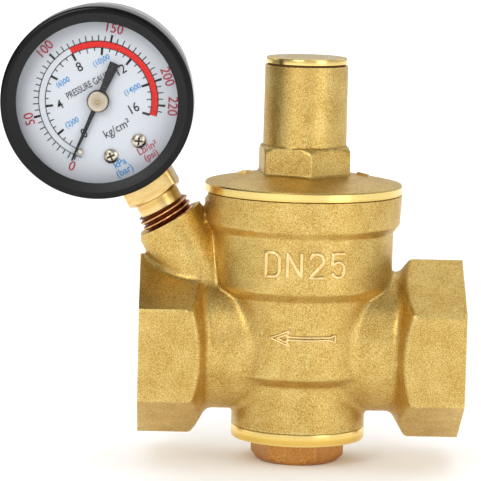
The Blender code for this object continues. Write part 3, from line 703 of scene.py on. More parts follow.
def hex_end_field(p):
    """One hexagon end with its cone; both ends are alike, so |x| serves for both."""
    along = np.abs(p[:, 0])
    flats = polygon(6, HEX_FLATS - 2 * CORNER_SOFT, 30.0)
    hexagon = polygon_field(p[:, 1], p[:, 2], flats) - CORNER_SOFT
    radius = np.hypot(p[:, 1], p[:, 2])
    # the cone climbs 60 degrees from the neck to the corners
    cone = (radius - NECK_R) * 0.5 - (along - 24.4) * math.cos(math.radians(30))
    return meet_fields(hexagon, cone, CORNER_SOFT)


def body_field(p):
    """The whole casting, with fillets of one to two millimetres."""
    radius = np.hypot(p[:, 0], p[:, 1])
    barrel = polygon_field(radius, p[:, 2], barrel_outline)
    neck = np.hypot(p[:, 1], p[:, 2]) - NECK_R
    # the neck is thicker on top, where the passages rise to the seat
    saddle = np.hypot(p[:, 1], p[:, 2] - 3.4) - NECK_R
    neck = np.maximum(join_fields(neck, saddle, 1.0), np.abs(p[:, 0]) - 40)
    ends = np.maximum(hex_end_field(p), np.abs(p[:, 0]) - (HALF_LENGTH + 1.5))
    away = p - np.array(HUB)
    along = away @ down_stem
    across = np.linalg.norm(away - along[:, None] * down_stem, axis=1)
    # the pattern's draft widens the boss a little towards the body
    boss_side = across - BOSS_R + (along - BOSS_MOUTH) * -0.02
    boss = np.maximum(np.maximum(boss_side, BOSS_MOUTH - 1.5 - along), along - 64)
    shape = join_fields(neck, ends, 1.4)
    shape = join_fields(shape, barrel, 1.3)
    return join_fields(shape, boss, 1.4)


print("barrel outline:", len(barrel_outline), "points")

# %% [markdown]
# ## Pouring the casting
#
# The field alone has no faces. Rough solids of the same sizes overlap here, a voxel remesh turns their
# union into one even skin, and the skin slides onto the field. The mesh is fine enough to show a fillet.

# %% Body casting


def body_shapes():
    """Rough solids under the field, a little smaller than the finished casting."""
    shapes = [turned(BARREL, 64), turned([(0, -38), (NECK_R, -38), (NECK_R, 38), (0, 38)], 48, "X")]
    for side in (-1, 1):
        out = Matrix.Scale(side, 4, (1, 0, 0)) @ TO_AXIS["X"]
        for start, flats in ((25.6, HEX_FLATS * 0.8), (27.0, HEX_FLATS * 0.9), (28.4, HEX_FLATS - 1.0)):
            hexagon = prism(polygon(6, flats, 0.0), start, HALF_LENGTH + 1.5, out)
            bmesh.ops.recalc_face_normals(hexagon, faces=hexagon.faces)
            shapes.append(hexagon)
    boss = [(0, -62), (BOSS_R, -62), (BOSS_R, -BOSS_MOUTH + 1.5), (0, -BOSS_MOUTH + 1.5)]
    shapes.append(turned(boss, 40, place=GAUGE_PLACE))
    return shapes


BODY_GRAIN = 0.55
body = cast_mesh("valve_body", body_shapes(), body_field, BODY_GRAIN, blasted_brass)
print("body cast with a mesh of", BODY_GRAIN, "mm")

# %% [markdown]
# ## Machining the body
#
# A G1 pipe thread is a V of 2.309 mm pitch. Its cutter is a screw: a cylinder mesh whose radius rises
# and falls along the helix. Subtracting it leaves the real thread in each socket. A bump map could fake
# one, but a thread is deep enough to show at the socket's mouth.

# %% Screw cutter
PIPE_PITCH = 2.309
PIPE_THREAD = (15.15, 16.6)     # radii of the crest and of the root
SOCKET_END = 26.5               # distance of the last thread from the spindle


def screw_tool(minor, major, pitch, low, high, place, around=72, per_turn=10, hand=1):
    """A closed threaded rod along Z; a hand of -1 suits a mirrored place."""
    rows = int((high - low) / pitch * per_turn)
    bm = bmesh.new()
    rings = []
    for row in range(rows + 1):
        height = low + (high - low) * row / rows
        ring = []
        for i in range(around):
            angle = 2 * math.pi * i / around
            phase = (height / pitch - hand * i / around) % 1.0
            # a V with its crest and root cut flat
            ridge = min(max(1.15 - abs(phase - 0.5) * 2 * 1.3, 0.0), 1.0)
            radius = minor + (major - minor) * ridge
            ring.append(bm.verts.new((radius * math.cos(angle), radius * math.sin(angle), height)))
        rings.append(ring)
    for lower, upper in zip(rings, rings[1:]):
        for i in range(around):
            j = (i + 1) % around
            bm.faces.new((lower[i], lower[j], upper[j], upper[i]))
    bm.faces.new(list(reversed(rings[0])))
    bm.faces.new(rings[-1])
    bmesh.ops.transform(bm, matrix=place, verts=bm.verts)
    bmesh.ops.recalc_face_normals(bm, faces=bm.faces)
    return bm


print("pipe thread pitch", PIPE_PITCH, "mm")

# %% [markdown]
# ## The body's cutters
#
# Each bore is a turned solid placed along its axis, as a boring bar would sweep it. The end faces and the
# flat on the gauge boss are wide discs, as a facing tool sweeps them.

# %% The body's cutters


def body_tools():
    """Every cutter of the body, each a closed mesh."""
    tools = []
    for side in (-1, 1):
        out = Matrix.Scale(side, 4, (1, 0, 0)) @ TO_AXIS["X"]
        face = turned([(0, HALF_LENGTH), (34, HALF_LENGTH), (34, HALF_LENGTH + 6), (0, HALF_LENGTH + 6)],
                      32, place=out)
        thread = screw_tool(*PIPE_THREAD, PIPE_PITCH, SOCKET_END, HALF_LENGTH + 0.5, out, hand=side)
        mouth = turned([(0, HALF_LENGTH - 2.6), (14.6, HALF_LENGTH - 2.6), (17.4, HALF_LENGTH + 0.2),
                        (17.4, HALF_LENGTH + 2), (0, HALF_LENGTH + 2)], 72, place=out)
        run_out = turned([(0, 25.2), (15.9, 25.2), (15.9, 28.0), (0, 28.0)], 72, place=out)
        for tool in (face, thread, mouth, run_out):
            bmesh.ops.recalc_face_normals(tool, faces=tool.faces)
            tools.append(link_mesh("tool", tool))
    # top face, bottom face, plug and seat bore, piston bore, and the two passages to the sockets
    straight = [
        ([(0, BODY_TOP), (40, BODY_TOP), (40, 60), (0, 60)], "Z", (0, 0, 0)),
        ([(0, -40), (20, -40), (20, BODY_BOTTOM), (0, BODY_BOTTOM)], "Z", (0, 0, 0)),
        ([(0, BODY_BOTTOM - 1), (15.9, BODY_BOTTOM - 1), (15.9, -18.4), (13.5, -18.4), (13.5, -12.0),
          (12.5, -12.0), (12.5, 2.0), (9.7, 2.0), (9.7, 1.0), (8.5, 1.0), (8.5, SEAT_TOP + 1),
          (0, SEAT_TOP + 1)], "Z", (0, 0, 0)),
        ([(0, SEAT_TOP), (17.5, SEAT_TOP), (17.5, 19), (19.5, 19), (19.5, 31), (22.5, 31),
          (22.5, BODY_TOP + 1), (0, BODY_TOP + 1)], "Z", (0, 0, 0)),
        ([(0, 11.5), (8.0, 11.5), (8.0, 27.5), (0, 27.5)], "X", (0, 0, -4.0)),
        ([(0, -27.5), (8.0, -27.5), (8.0, -14.7), (0, -14.7)], "X", (0, 0, 5.6))]
    for outline, axis, offset in straight:
        tools.append(link_mesh("tool", turned(outline, 72, axis, place=Matrix.Translation(offset))))
    boss = [(0, -62.5), (2.5, -62.5), (2.5, -47.3), (7.5, -47.3), (7.5, -BOSS_MOUTH - 0.8),
            (8.3, -BOSS_MOUTH), (14.0, -BOSS_MOUTH), (14.0, -BOSS_MOUTH + 5), (0, -BOSS_MOUTH + 5)]
    tools.append(link_mesh("tool", turned(boss, 48, place=GAUGE_PLACE)))
    return tools


def in_socket(p):
    """End faces, mouths and threads: all that the lathe has touched at the pipe ends."""
    return abs(p.x) > HALF_LENGTH - 0.05 or (abs(p.x) > 25.2 and math.hypot(p.y, p.z) < 17.45)


combine(body, body_tools())
second_finish(body, socket_brass, in_socket)
settle(body, "valve", "cast_brass", "body", sharp=32)
print("body after machining:", len(body.data.polygons), "faces")

# %% [markdown]
# ## Raised size mark and flow arrow
#
# Foundries put the pipe size and the flow direction on the pattern, so both stand up from the casting.
# Each stroke is drawn flat as a centre line, then wrapped onto the skin of the barrel as a round ridge.
# A font would stand too sharp: a pattern maker's letters are plain strokes.

# %% Ridges on the barrel
STROKE_STEP = 0.5           # a stroke is cut this short, so that it can follow the skin


def wrap_round(stroke, closed, radius, depth):
    """Wrap a flat stroke (along the arc, up) round the front of the barrel, depth outside its skin."""
    ends = stroke[1:] + stroke[:1] if closed else stroke[1:]
    points = []
    for (x0, z0), (x1, z1) in zip(stroke, ends):
        steps = max(1, math.ceil(math.hypot(x1 - x0, z1 - z0) / STROKE_STEP))
        points += [(x0 + (x1 - x0) * i / steps, z0 + (z1 - z0) * i / steps) for i in range(steps)]
    if not closed:
        points.append(stroke[-1])
    reach = np.linspace(18.0, 28.0, 401)
    wrapped = []
    for x, z in points:
        out = np.array([math.sin(x / radius), -math.cos(x / radius)])
        ray = np.column_stack([reach * out[0], reach * out[1], np.full(reach.shape, z)])
        skin = reach[body_field(ray) <= 0].max()
        wrapped.append(Vector((*(out * (skin + depth)), z)))
    return wrapped


def ridge(name, strokes, radius, width, rise, finish):
    """Round ridges along flat strokes, half sunk in the barrel."""
    data = bpy.data.curves.new(name, "CURVE")
    data.dimensions = "3D"
    data.bevel_depth = width / 2 * MM
    data.bevel_resolution = 2
    data.use_fill_caps = True
    for stroke, closed in strokes:
        line = data.splines.new("POLY")
        places = wrap_round(stroke, closed, radius, rise - width / 2)
        line.points.add(len(places) - 1)
        line.use_cyclic_u = closed
        for point, place in zip(line.points, places):
            point.co = (*(place * MM), 1.0)
    made = bpy.data.objects.new(name, data)
    bpy.context.collection.objects.link(made)
    data.materials.append(finish)
    return made


print("ridges follow the skin every", STROKE_STEP, "mm")

# %% [markdown]
# ## The strokes of the marks
#
# The size mark reads DN25, the nominal bore. The arrow shows the flow, towards the gauge side: a barbed
# head, a thin shaft and a flared tail. Both are drawn flat, in millimetres, round strokes as arcs.

# %% Strokes of the marks


def arc(cx, cz, rx, rz, start, end, steps=12):
    """Points along an ellipse's arc, between two angles in degrees."""
    turns = [math.radians(start + (end - start) * i / steps) for i in range(steps + 1)]
    return [(cx + rx * math.cos(turn), cz + rz * math.sin(turn)) for turn in turns]


MARK_LEFT, MARK_FOOT, MARK_PITCH = -10.3, 21.6, 5.75
ARROW_HEIGHT = 5.3


def size_mark_strokes():
    """Centre lines of D, N, 2 and 5."""
    wide, high, bend = 3.6, 6.2, 1.7
    letter_d = [(0, 0)] + arc(wide - bend, bend, bend, bend, -90, 0, 6) \
        + arc(wide - bend, high - bend, bend, bend, 0, 90, 6) + [(0, high)]
    letter_n = [(0, 0), (0, high), (wide, 0), (wide, high)]
    two = arc(wide / 2, high - 1.8, wide / 2, 1.8, 170, -35, 12) + [(0, 0), (wide, 0)]
    five = [(wide - 0.1, high), (0.3, high), (0.1, 3.2)]
    five += arc(wide / 2, 2.0, wide / 2, 2.0, 130, -160, 14)
    strokes = []
    for index, line in enumerate([letter_d, letter_n, two, five]):
        left = MARK_LEFT + index * MARK_PITCH
        strokes.append(([(left + x, MARK_FOOT + z) for x, z in line], line is letter_d))
    return strokes


def arrow_strokes():
    """A flow arrow pointing to the outlet: a barbed head, a thin double shaft and a flared tail."""
    outline = [(-3.4, 2.0), (-8.6, 0.0), (-3.4, -2.0), (-4.4, -0.4), (7.0, -0.35), (8.6, -0.9),
               (8.6, 0.9), (7.0, 0.35), (-4.4, 0.4)]
    filling = [(-3.9, 1.1), (-6.8, 0.0), (-3.9, -1.1)]
    return [([(x, ARROW_HEIGHT + z) for x, z in line], True) for line in (outline, filling)]


MARK_BARREL_R, ARROW_BARREL_R = 23.9, 21.5
# the size mark and the arrow take the lighter brass, a painted highlight
size_mark = ridge("cast_size_mark", size_mark_strokes(), MARK_BARREL_R, 1.2, 0.55, highlit_mark_brass)
flow_arrow = ridge("cast_flow_arrow", arrow_strokes(), ARROW_BARREL_R, 0.7, 0.5, highlit_mark_brass)
for mark in (size_mark, flow_arrow):
    settle(mark, "valve", "cast_brass")
print("size mark and arrow raised")

# %% [markdown]
# ## The bonnet and its cap
#
# The bonnet is cast and screws into the body. Its flange is turned bright, the disc above keeps the
# blasted skin, and the hexagon takes the wrench. The tube holds the spring, with the adjusting screw
# under the cap. A plus and a minus on the disc say which way the adjusting screw raises the pressure.

# %% Bonnet
BONNET_FLATS = 22.6
TUBE_TOP = 74.5
TUBE_R = 10.95
BONNET_TURN = -84.5         # angle of the hexagon's first corner
disc_outline = rounded([(0, 42.5), (25.6, 42.5), (25.6, 43.6), (19.0, 44.9), (12.4, 46.0), (0, 46.2)],
                       [0, 0, 0.9, 6.0, 0, 0])


def bonnet_field(p):
    """Disc, hexagon with a chamfered crown, and tube, blended."""
    radius = np.hypot(p[:, 0], p[:, 1])
    disc = polygon_field(radius, p[:, 2], disc_outline)
    turn = math.radians(BONNET_TURN)
    hexagon = polygon_field(p[:, 0], p[:, 1], polygon(6, BONNET_FLATS - 1.0, BONNET_TURN)) - 0.5
    crown = (radius - 12.4) * 0.7 + (p[:, 2] - 52.8) * 0.72
    hexagon = meet_fields(np.maximum(hexagon, 43.0 - p[:, 2]), np.maximum(p[:, 2] - 53.4, crown), 0.5)
    tube_side = radius - (TUBE_R - (p[:, 2] - 53.6) * 0.004)
    tube = np.maximum(tube_side, np.maximum(43.0 - p[:, 2], p[:, 2] - 75.8))
    return join_fields(join_fields(disc, hexagon, 0.9), tube, 0.35)


def bonnet_shapes():
    """Rough solids under the field."""
    return [turned([(0, 42.5), (25.6, 42.5), (25.6, 43.6), (12.4, 46.0), (0, 46.0)], 64),
            prism(polygon(6, BONNET_FLATS, BONNET_TURN), 43.0, 53.4),
            turned([(0, 43), (10.9, 43), (10.9, 75.8), (0, 75.8)], 64)]


BONNET_GRAIN = 0.4
bonnet = cast_mesh("bonnet_casting", bonnet_shapes(), bonnet_field, BONNET_GRAIN, blasted_brass)
bonnet_tools = [
    [(0, 42.0), (40, 42.0), (40, 30), (0, 30)],
    [(0, TUBE_TOP), (20, TUBE_TOP), (20, 80), (0, 80)],
    [(0, 35), (8.9, 35), (8.9, TUBE_TOP - 0.4), (9.5, TUBE_TOP + 0.2), (9.5, 78), (0, 78)]]
combine(bonnet, [link_mesh("tool", turned(outline, 72)) for outline in bonnet_tools])
settle(bonnet, "valve", "cast_brass", "bonnet", sharp=32)

print("bonnet cast, hexagon", BONNET_FLATS, "mm across flats")

# %% [markdown]
# ## The bonnet's turned flange
#
# The flange shows as a bright band between two blasted castings. It is one turned ring, spun with more
# steps than the rest, because its edge is the roundest line in view.

# %% Bonnet flange
flange_outline = [(22.2, 33.0), (22.2, 41.1), (25.7, 41.1), (25.95, 41.3), (25.95, 43.2), (25.75, 43.55),
                  (25.3, 43.6), (9.2, 43.6), (9.2, 39.5), (19.8, 39.5), (19.8, 33.0)]
flange = link_mesh("bonnet_flange", turned(flange_outline, 128, closed=True), turned_brass)
settle(flange, "valve", "turned_brass", sharp=25)


print("flange turned")

# %% [markdown]
# ## Plus and minus
#
# Two small raised marks stand on the disc beside the hexagon. They are cast, so their bars have sloping
# flanks, and they lie on the slope of the disc.

# %% Bonnet marks


def bonnet_marks():
    """A raised plus and minus beside the hexagon, following the slope of the disc."""
    bm = bmesh.new()
    corners = ((-1, -1), (1, -1), (1, 1), (-1, 1))
    for side, turn in ((-1, 10), (-1, 100), (1, -35)):
        slope = Matrix.Rotation(math.radians(side * 9), 4, "Y") @ Matrix.Rotation(math.radians(turn), 4, "Z")
        lie = Matrix.Translation((side * 15.6, 1.5, 45.4)) @ slope
        low = [bm.verts.new(lie @ Vector((x * 2.0, y * 0.5, -0.5))) for x, y in corners]
        high = [bm.verts.new(lie @ Vector((x * 1.7, y * 0.25, 0.75))) for x, y in corners]
        bm.faces.new(list(reversed(low)))
        bm.faces.new(high)
        for i in range(4):
            bm.faces.new((low[i], low[(i + 1) % 4], high[(i + 1) % 4], high[i]))
    bmesh.ops.recalc_face_normals(bm, faces=bm.faces)
    # the plus and minus take the lighter brass, a painted highlight
    return link_mesh("bonnet_marks", bm, highlit_mark_brass)


settle(bonnet_marks(), "valve", "cast_brass")
print("bonnet done")

# %% [markdown]
# ## The screw cap
#
# A turned plug with a thin head closes the tube and covers the adjusting screw. It lies on a fibre
# washer, which leaves a dark line under the head. It is a body of its own, because it unscrews.

# %% Screw cap
CAP_R = 10.6
CAP_TOP = 76.6
WASHER = 0.55               # thickness between tube and head
CAP_UNDER = TUBE_TOP + WASHER
cap_outline = rounded([(0, 70.0), (8.5, 70.0), (8.5, CAP_UNDER), (CAP_R, CAP_UNDER), (CAP_R, CAP_TOP),
                       (0, CAP_TOP)], [0, 0.5, 0.05, 0.12, 0.35, 0], 3)
cap = link_mesh("screw_cap", turned(cap_outline, 128), turned_brass)
settle(cap, "cap", "turned_brass", "top_cap", sharp=25)
print("cap head", CAP_TOP - CAP_UNDER, "mm thick")

# %% [markdown]
# ## The bottom plug
#
# A screwed plug closes the seat chamber. Its flange is turned, its hexagon is left as cast, and that
# hexagon gets a darker, browner copy of the brass: painted shade.

# %% Bottom plug
PLUG_TURN = -69.0           # angle of the hexagon's first corner
PLUG_FLATS = 21.5


def plug_field(p):
    """A hexagon with softened corners and a chamfered lower face."""
    radius = np.hypot(p[:, 0], p[:, 1])
    hexagon = polygon_field(p[:, 0], p[:, 1], polygon(6, PLUG_FLATS - 0.7, PLUG_TURN)) - 0.35
    crown = (radius - 11.4) * 0.6 - (p[:, 2] + 29.4) * 0.8
    return meet_fields(np.maximum(hexagon, p[:, 2] + 22.5), np.maximum(-30.2 - p[:, 2], crown), 0.4)


PLUG_GRAIN = 0.4
plug_shape = prism(polygon(6, PLUG_FLATS - 0.3, PLUG_TURN), -30.1, -22.5)
# the hexagon takes the darker brass, a painted shade
plug_hex = cast_mesh("plug_hexagon", [plug_shape], plug_field, PLUG_GRAIN, plug_brass_painted_shade)
combine(plug_hex, [link_mesh("tool", turned([(0, -23.9), (30, -23.9), (30, -10), (0, -10)], 32))])
settle(plug_hex, "valve", "dark_brass", "bottom_plug", sharp=32)
plug_flange_outline = rounded([(0, -12.3), (13.2, -12.3), (13.2, -20.7), (17.65, -20.7), (17.65, -24.0),
                               (0, -24.0)], [0, 0.6, 0.1, 0.35, 0.35, 0], 3)
plug_flange = link_mesh("plug_flange", turned(plug_flange_outline, 112), turned_brass)
settle(plug_flange, "valve", "turned_brass", sharp=25)
print("plug done")

# %% [markdown]
# ## The gauge stem
#
# Gauge makers turn the stem from square bar: a 14 mm square for the wrench, a short round neck and an
# M14 x 1.5 thread. The square has broken corners and a saddle that fits the round case.

# %% Gauge stem
STEM_END = 46.3
THREAD_ROOT, THREAD_CREST = 6.3, 7.2
STEM_PITCH = 1.5
CASE_R = 24.0


def gauge_stem():
    """Square, neck and the tongue inside the case, drilled through for the pressure."""
    square = rounded(polygon(4, 14.0, 45.0), 1.9, 4, closed=True)
    block = link_mesh("gauge_stem", prism(square, -30.6, -20.0, GAUGE_PLACE), gauge_brass)
    bevel = [(0, -29.9), (6.4, -29.9), (9.6, -28.4), (12, -28.4), (12, -40), (0, -40)]
    bevelled = turned(bevel, 64, place=GAUGE_PLACE)
    saddle_r = CASE_R + 0.15
    saddle = turned([(0, -20), (saddle_r, -20), (saddle_r, 20), (0, 20)], 128, "Y", place=GAUGE_PLACE)
    combine(block, [link_mesh("tool", bevelled), link_mesh("tool", saddle)])
    neck = turned([(0, -34.2), (6.0, -34.2), (6.0, -29.0), (0, -29.0)], 64, place=GAUGE_PLACE)
    tongue = prism([(-4, -4.5), (4, -4.5), (4, 4.5), (-4, 4.5)], -26.5, -14.5, GAUGE_PLACE)
    combine(block, [link_mesh("tool", neck), link_mesh("tool", tongue)], "UNION")
    drill = turned([(0, -50), (1.25, -50), (1.25, -17), (0, -17)], 24, place=GAUGE_PLACE)
    pocket = prism([(-5, -3.3), (-0.9, -3.3), (-0.9, 3.3), (-5, 3.3)], -18.6, -15.5, GAUGE_PLACE)
    combine(block, [link_mesh("tool", drill), link_mesh("tool", pocket)])
    return block


settle(gauge_stem(), "valve", "turned_brass", "gauge_socket", sharp=30)
print("square and neck ready")

# %% [markdown]
# ## The stem's thread
#
# The thread is coloured by its depth, read from the distance to the stem's axis: painted shade in its
# roots and a painted highlight on its crests. The screw helper makes the rod, and a turned cutter
# chamfers its start.

# %% Stem thread


def thread_finish():
    """Painted shade in the roots and a painted highlight on the crests, by the distance to the axis."""
    made, tree, shader = new_material("machined_thread_painted_shade_and_highlight", Metallic=1.0)
    rings = ring_coordinate(tree, "Z", HUB, GAUGE_EULER)
    split = add_node(tree, "ShaderNodeSeparateXYZ", {}, {"Vector": (rings, "Vector")})
    depth = add_node(tree, "ShaderNodeMapRange", {}, {
        "Value": (split, "X"), "From Min": THREAD_ROOT * MM, "From Max": THREAD_CREST * MM})
    grain = add_node(tree, "ShaderNodeTexNoise", {}, {
        "Vector": (rings, "Vector"), "Scale": per_metre(0.4), "Detail": 2.0, "Roughness": 0.5})
    mixed = add_node(tree, "ShaderNodeMix", {"data_type": "FLOAT"}, {
        "Factor": 0.12, "A": (depth, "Result"), "B": (grain, "Fac")})
    # dark brown in the roots is painted shade, the pale crests a painted highlight
    tones = [(0.05, colour("6b3c1e")), (0.6, colour("9a5c30")), (0.92, colour("ffcf94"))]
    tone = add_node(tree, "ShaderNodeValToRGB", {"stops": tones}, {"Fac": (mixed, "Result")})
    gloss = add_node(tree, "ShaderNodeValToRGB", {"stops": [(0.3, 0.26), (0.7, 0.36)]}, {
        "Fac": (grain, "Fac")})
    fill_inputs(tree, shader, {"Base Color": (tone, "Color"), "Roughness": (gloss, "Color")})
    return made


def gauge_thread():
    """The screwed end, from the square's neck down into the boss."""
    flip = GAUGE_PLACE @ Matrix.Rotation(math.pi, 4, "X")
    screw = screw_tool(THREAD_ROOT, THREAD_CREST, STEM_PITCH, 33.0, STEM_END, flip, 96, 14)
    rod = link_mesh("gauge_stem_thread", screw, thread_finish())
    chamfer = turned([(0, 31), (12, 31), (12, 36.0), (6.2, 32.8), (0, 32.8)], 48, place=flip)
    combine(rod, [link_mesh("tool", chamfer)])
    drill = turned([(0, -50), (1.3, -50), (1.3, -30), (0, -30)], 24, place=GAUGE_PLACE)
    combine(rod, [link_mesh("tool", drill)])
    return rod


settle(gauge_thread(), "valve", "turned_brass", sharp=38)
print("stem thread", STEM_PITCH, "mm pitch")

# %% [markdown]
# ## Finishes of the gauge shell
#
# The case is a deep-drawn steel cup, chromed, with faint rings from the drawing die. The bezel is a
# rolled ring in black stove enamel, which is glossy with a slight orange peel, and matt on its inner
# slope. The lens is clear acrylic. A real sheet of it throws strong reflections of the lamps over the
# dial, so part of it is left out by its alpha.

# %% Gauge finishes


def chromed_case():
    """Chrome over drawn steel: a mirror with faint rings."""
    made, tree, shader = new_material("chromed_steel_case", Metallic=1.0)
    rings = ring_coordinate(tree, "Y", HUB, GAUGE_EULER)
    drawn = add_node(tree, "ShaderNodeTexNoise", {}, {
        "Vector": (rings, "Vector"), "Scale": per_metre(0.7), "Detail": 3.0, "Roughness": 0.5})
    tones = [(0.3, colour("d4d6da")), (0.7, colour("e6e8ea"))]
    tone = add_node(tree, "ShaderNodeValToRGB", {"stops": tones}, {"Fac": (drawn, "Fac")})
    gloss = add_node(tree, "ShaderNodeValToRGB", {"stops": [(0.3, 0.06), (0.7, 0.13)]}, {
        "Fac": (drawn, "Fac")})
    lines = add_node(tree, "ShaderNodeBump", {}, {
        "Height": (drawn, "Fac"), "Distance": 0.006 * MM, "Strength": 1.0})
    fill_inputs(tree, shader, {
        "Base Color": (tone, "Color"), "Roughness": (gloss, "Color"), "Normal": (lines, "Normal")})
    return made


def clear_lens():
    """Clear acrylic with a trace of haze."""
    made, tree, shader = new_material("clear_acrylic_lens", Transmission_Weight=1.0, IOR=1.49, Alpha=0.10,
                                      Base_Color=colour("ffffff"))
    place = add_node(tree, "ShaderNodeTexCoord")
    haze = add_node(tree, "ShaderNodeTexNoise", {}, {
        "Vector": (place, "Object"), "Scale": per_metre(14.0), "Detail": 2.0, "Roughness": 0.6})
    gloss = add_node(tree, "ShaderNodeValToRGB", {"stops": [(0.3, 0.0), (0.8, 0.02)]}, {"Fac": (haze, "Fac")})
    fill_inputs(tree, shader, {"Roughness": (gloss, "Color")})
    return made


chrome = chromed_case()
enamel = grained_finish("black_stove_enamel_bezel", "050506", "08080a", 0.9, 0.10, 0.16, 0.01,
                        Specular_IOR_Level=0.22)
slope_enamel = grained_finish("black_matt_enamel_bezel_slope", "0a0b0b", "111212", 0.25, 0.34, 0.44, 0.01,
                              Specular_IOR_Level=0.3)
lens_clear = clear_lens()
print("shell finishes:", chrome.name, enamel.name, slope_enamel.name, lens_clear.name)

# %% [markdown]
# ## Case, bezel and lens
#
# All three are round, so each is one outline spun about the pointer's axis. The bezel is pressed over the
# cup's rim, with a rounded edge outside and a slope down to the lens, which lies on a rubber ring. Only
# the hole for the stem breaks the round, and it is drilled.

# %% Case, bezel and lens
case_outline = rounded([(0, 11.0), (CASE_R, 11.0), (CASE_R, -10.3), (23.1, -10.3), (23.1, 10.1), (0, 10.1)],
                       [0, 2.6, 0.2, 0.2, 1.8, 0], 6)
case = link_mesh("gauge_case_cup", turned(case_outline, 160, "Y", place=GAUGE_PLACE), chrome)
stem_hole = turned([(0, -30), (6.4, -30), (6.4, -15), (0, -15)], 48, place=GAUGE_PLACE)
combine(case, [link_mesh("tool", stem_hole)])
settle(case, "valve", "chrome", "gauge_case", sharp=30)

bezel_outline = rounded([(20.9, -14.9), (23.2, -15.5), (25.0, -15.5), (25.0, -7.4), (24.35, -7.4),
                         (24.35, -14.1), (20.9, -14.1)],
                        [0.12, 0.5, 0.9, 0.25, 0.1, 0.1, 0.12], 6, closed=True)
bezel_bm = turned(bezel_outline, 192, "Y", closed=True, place=GAUGE_PLACE)
bezel = link_mesh("gauge_bezel_ring", bezel_bm, enamel)
to_gauge = GAUGE_PLACE.inverted()


def on_slope(p):
    """The front of the bezel inside its rounded edge."""
    there = to_gauge @ p
    return math.hypot(there.x, there.z) < 23.4 and there.y < -14.2


second_finish(bezel, slope_enamel, on_slope)
settle(bezel, "valve", "black_paint", "gauge_bezel", sharp=30)

lens_outline = rounded([(0, -13.8), (23.9, -13.8), (23.9, -12.3), (0, -12.3)], [0, 0.25, 0.25, 0], 3)
lens = link_mesh("gauge_lens_disc", turned(lens_outline, 128, "Y", place=GAUGE_PLACE), lens_clear)
settle(lens, "valve", "lens_clear", "gauge_lens", sharp=30)
print("gauge shell done")

# %% [markdown]
# ## The dial
#
# An aluminium disc in pale grey-white enamel. The zero is 45 degrees left of the stem and the sweep is
# nearly 270 degrees, so 16 kg/cm2 comes about 45 degrees right of it. Printing ink is a matt film with a
# faint grain. The grain of ink and enamel is a few hundredths of a millimetre on the real dial, and is
# drawn 0.12 mm wide so that it shows.

# %% Dial plate and inks
DIAL_FACE = -9.3
SCALE_ZERO = 45.3           # degrees clockwise from the stem side, seen from the front
PER_KG = 16.8               # degrees for one kg/cm2
PER_PSI = 58.6 / 50         # degrees for one psi
FULL_KG = 16
SCREW_SIDE, SCREW_DROP = 4.15, -14.2    # the two dial screws, from the hub


def ink(name, code, shade):
    """Screen-print ink or dial enamel: a matt film with a faint grain."""
    return grained_finish(name, code, shade, 0.12, 0.45, 0.6, detail=2.0, Specular_IOR_Level=0.3)


black_ink = ink("screen_print_ink_black", "07080a", "0d0e12")
red_ink = ink("screen_print_ink_red", "a80f30", "b4163a")
band_ink = ink("screen_print_ink_band_red", "cf1a16", "d8241d")
blue_ink = ink("screen_print_ink_blue", "1580c2", "2290cc")
dial_enamel = ink("pale_dial_enamel", "c6cbd1", "cdd1d8")


dial_outline = rounded([(1.6, DIAL_FACE), (22.7, DIAL_FACE), (22.7, -8.7), (1.6, -8.7)], 0.1, 2,
                       closed=True)
dial_bm = turned(dial_outline, 128, "Y", closed=True, place=GAUGE_PLACE)
dial = link_mesh("dial_disc", dial_bm, dial_enamel)
holes = []
for side in (-1, 1):
    at = GAUGE_PLACE @ Matrix.Translation((side * SCREW_SIDE, 0, SCREW_DROP))
    hole = turned([(0, -12), (1.1, -12), (1.1, -6), (0, -6)], 24, "Y", place=at)
    holes.append(link_mesh("tool", hole))
combine(dial, holes)
settle(dial, "valve", "dial_white", "dial_plate", sharp=30)
print("dial disc with", len(holes), "screw holes")

# %% [markdown]
# ## Scales
#
# The scales are printed: an inner one in black for kg/cm2, an outer one for psi, and a red band over the
# upper half. An image would blur close up, so each tick is a thin closed plate of ink, laid a few
# hundredths of a millimetre above the enamel. Angles run clockwise from the stem, as the pointer does.

# %% Ink plates


def dial_point(angle, radius, depth=0.0):
    """A point on the dial: angle clockwise from the stem side, in the gauge's own frame."""
    turn = math.radians(angle)
    return Vector((-math.sin(turn) * radius, DIAL_FACE - depth, -math.cos(turn) * radius))


def dial_sheet(name, outlines, finish, depth, thickness=0.025):
    """Thin closed plates of ink from (angle, radius) outlines."""
    bm = bmesh.new()
    for outline in outlines:
        front = [bm.verts.new(dial_point(a, r, depth)) for a, r in outline]
        back = [bm.verts.new(dial_point(a, r, depth - thickness)) for a, r in outline]
        bm.faces.new(front)
        bm.faces.new(list(reversed(back)))
        count = len(outline)
        for i in range(count):
            bm.faces.new((front[i], back[i], back[(i + 1) % count], front[(i + 1) % count]))
    bmesh.ops.recalc_face_normals(bm, faces=bm.faces)
    bmesh.ops.transform(bm, matrix=GAUGE_PLACE, verts=bm.verts)
    made = link_mesh(name, bm, finish)
    made.data.shade_flat()
    return settle(made, "valve", "dial_white")


print("zero of the scale at", [round(part, 1) for part in dial_point(SCALE_ZERO, 14.0)])

# %% [markdown]
# ## Ticks, arcs and the red band
#
# Ticks at the numerals are wide and long, those between are thin. The psi ticks stand outside the red band
# and the kg/cm2 ticks inside it, and a thin arc closes each row.

# %% Ticks, arcs and the red band


def tick(angle, start, end, width):
    """A straight tick of a given width in millimetres."""
    spread = math.degrees(width / 2 / ((start + end) / 2))
    left, right = angle - spread, angle + spread
    return [(left, start), (left, end), (right, end), (right, start)]


def band(start, end, inner, outer, step=2.0):
    """A stretch of a ring as one outline, with a corner every few degrees."""
    count = round((end - start) / step)
    edges = [start + (end - start) * i / count for i in range(count + 1)]
    return [(a, outer) for a in edges] + [(a, inner) for a in reversed(edges)]


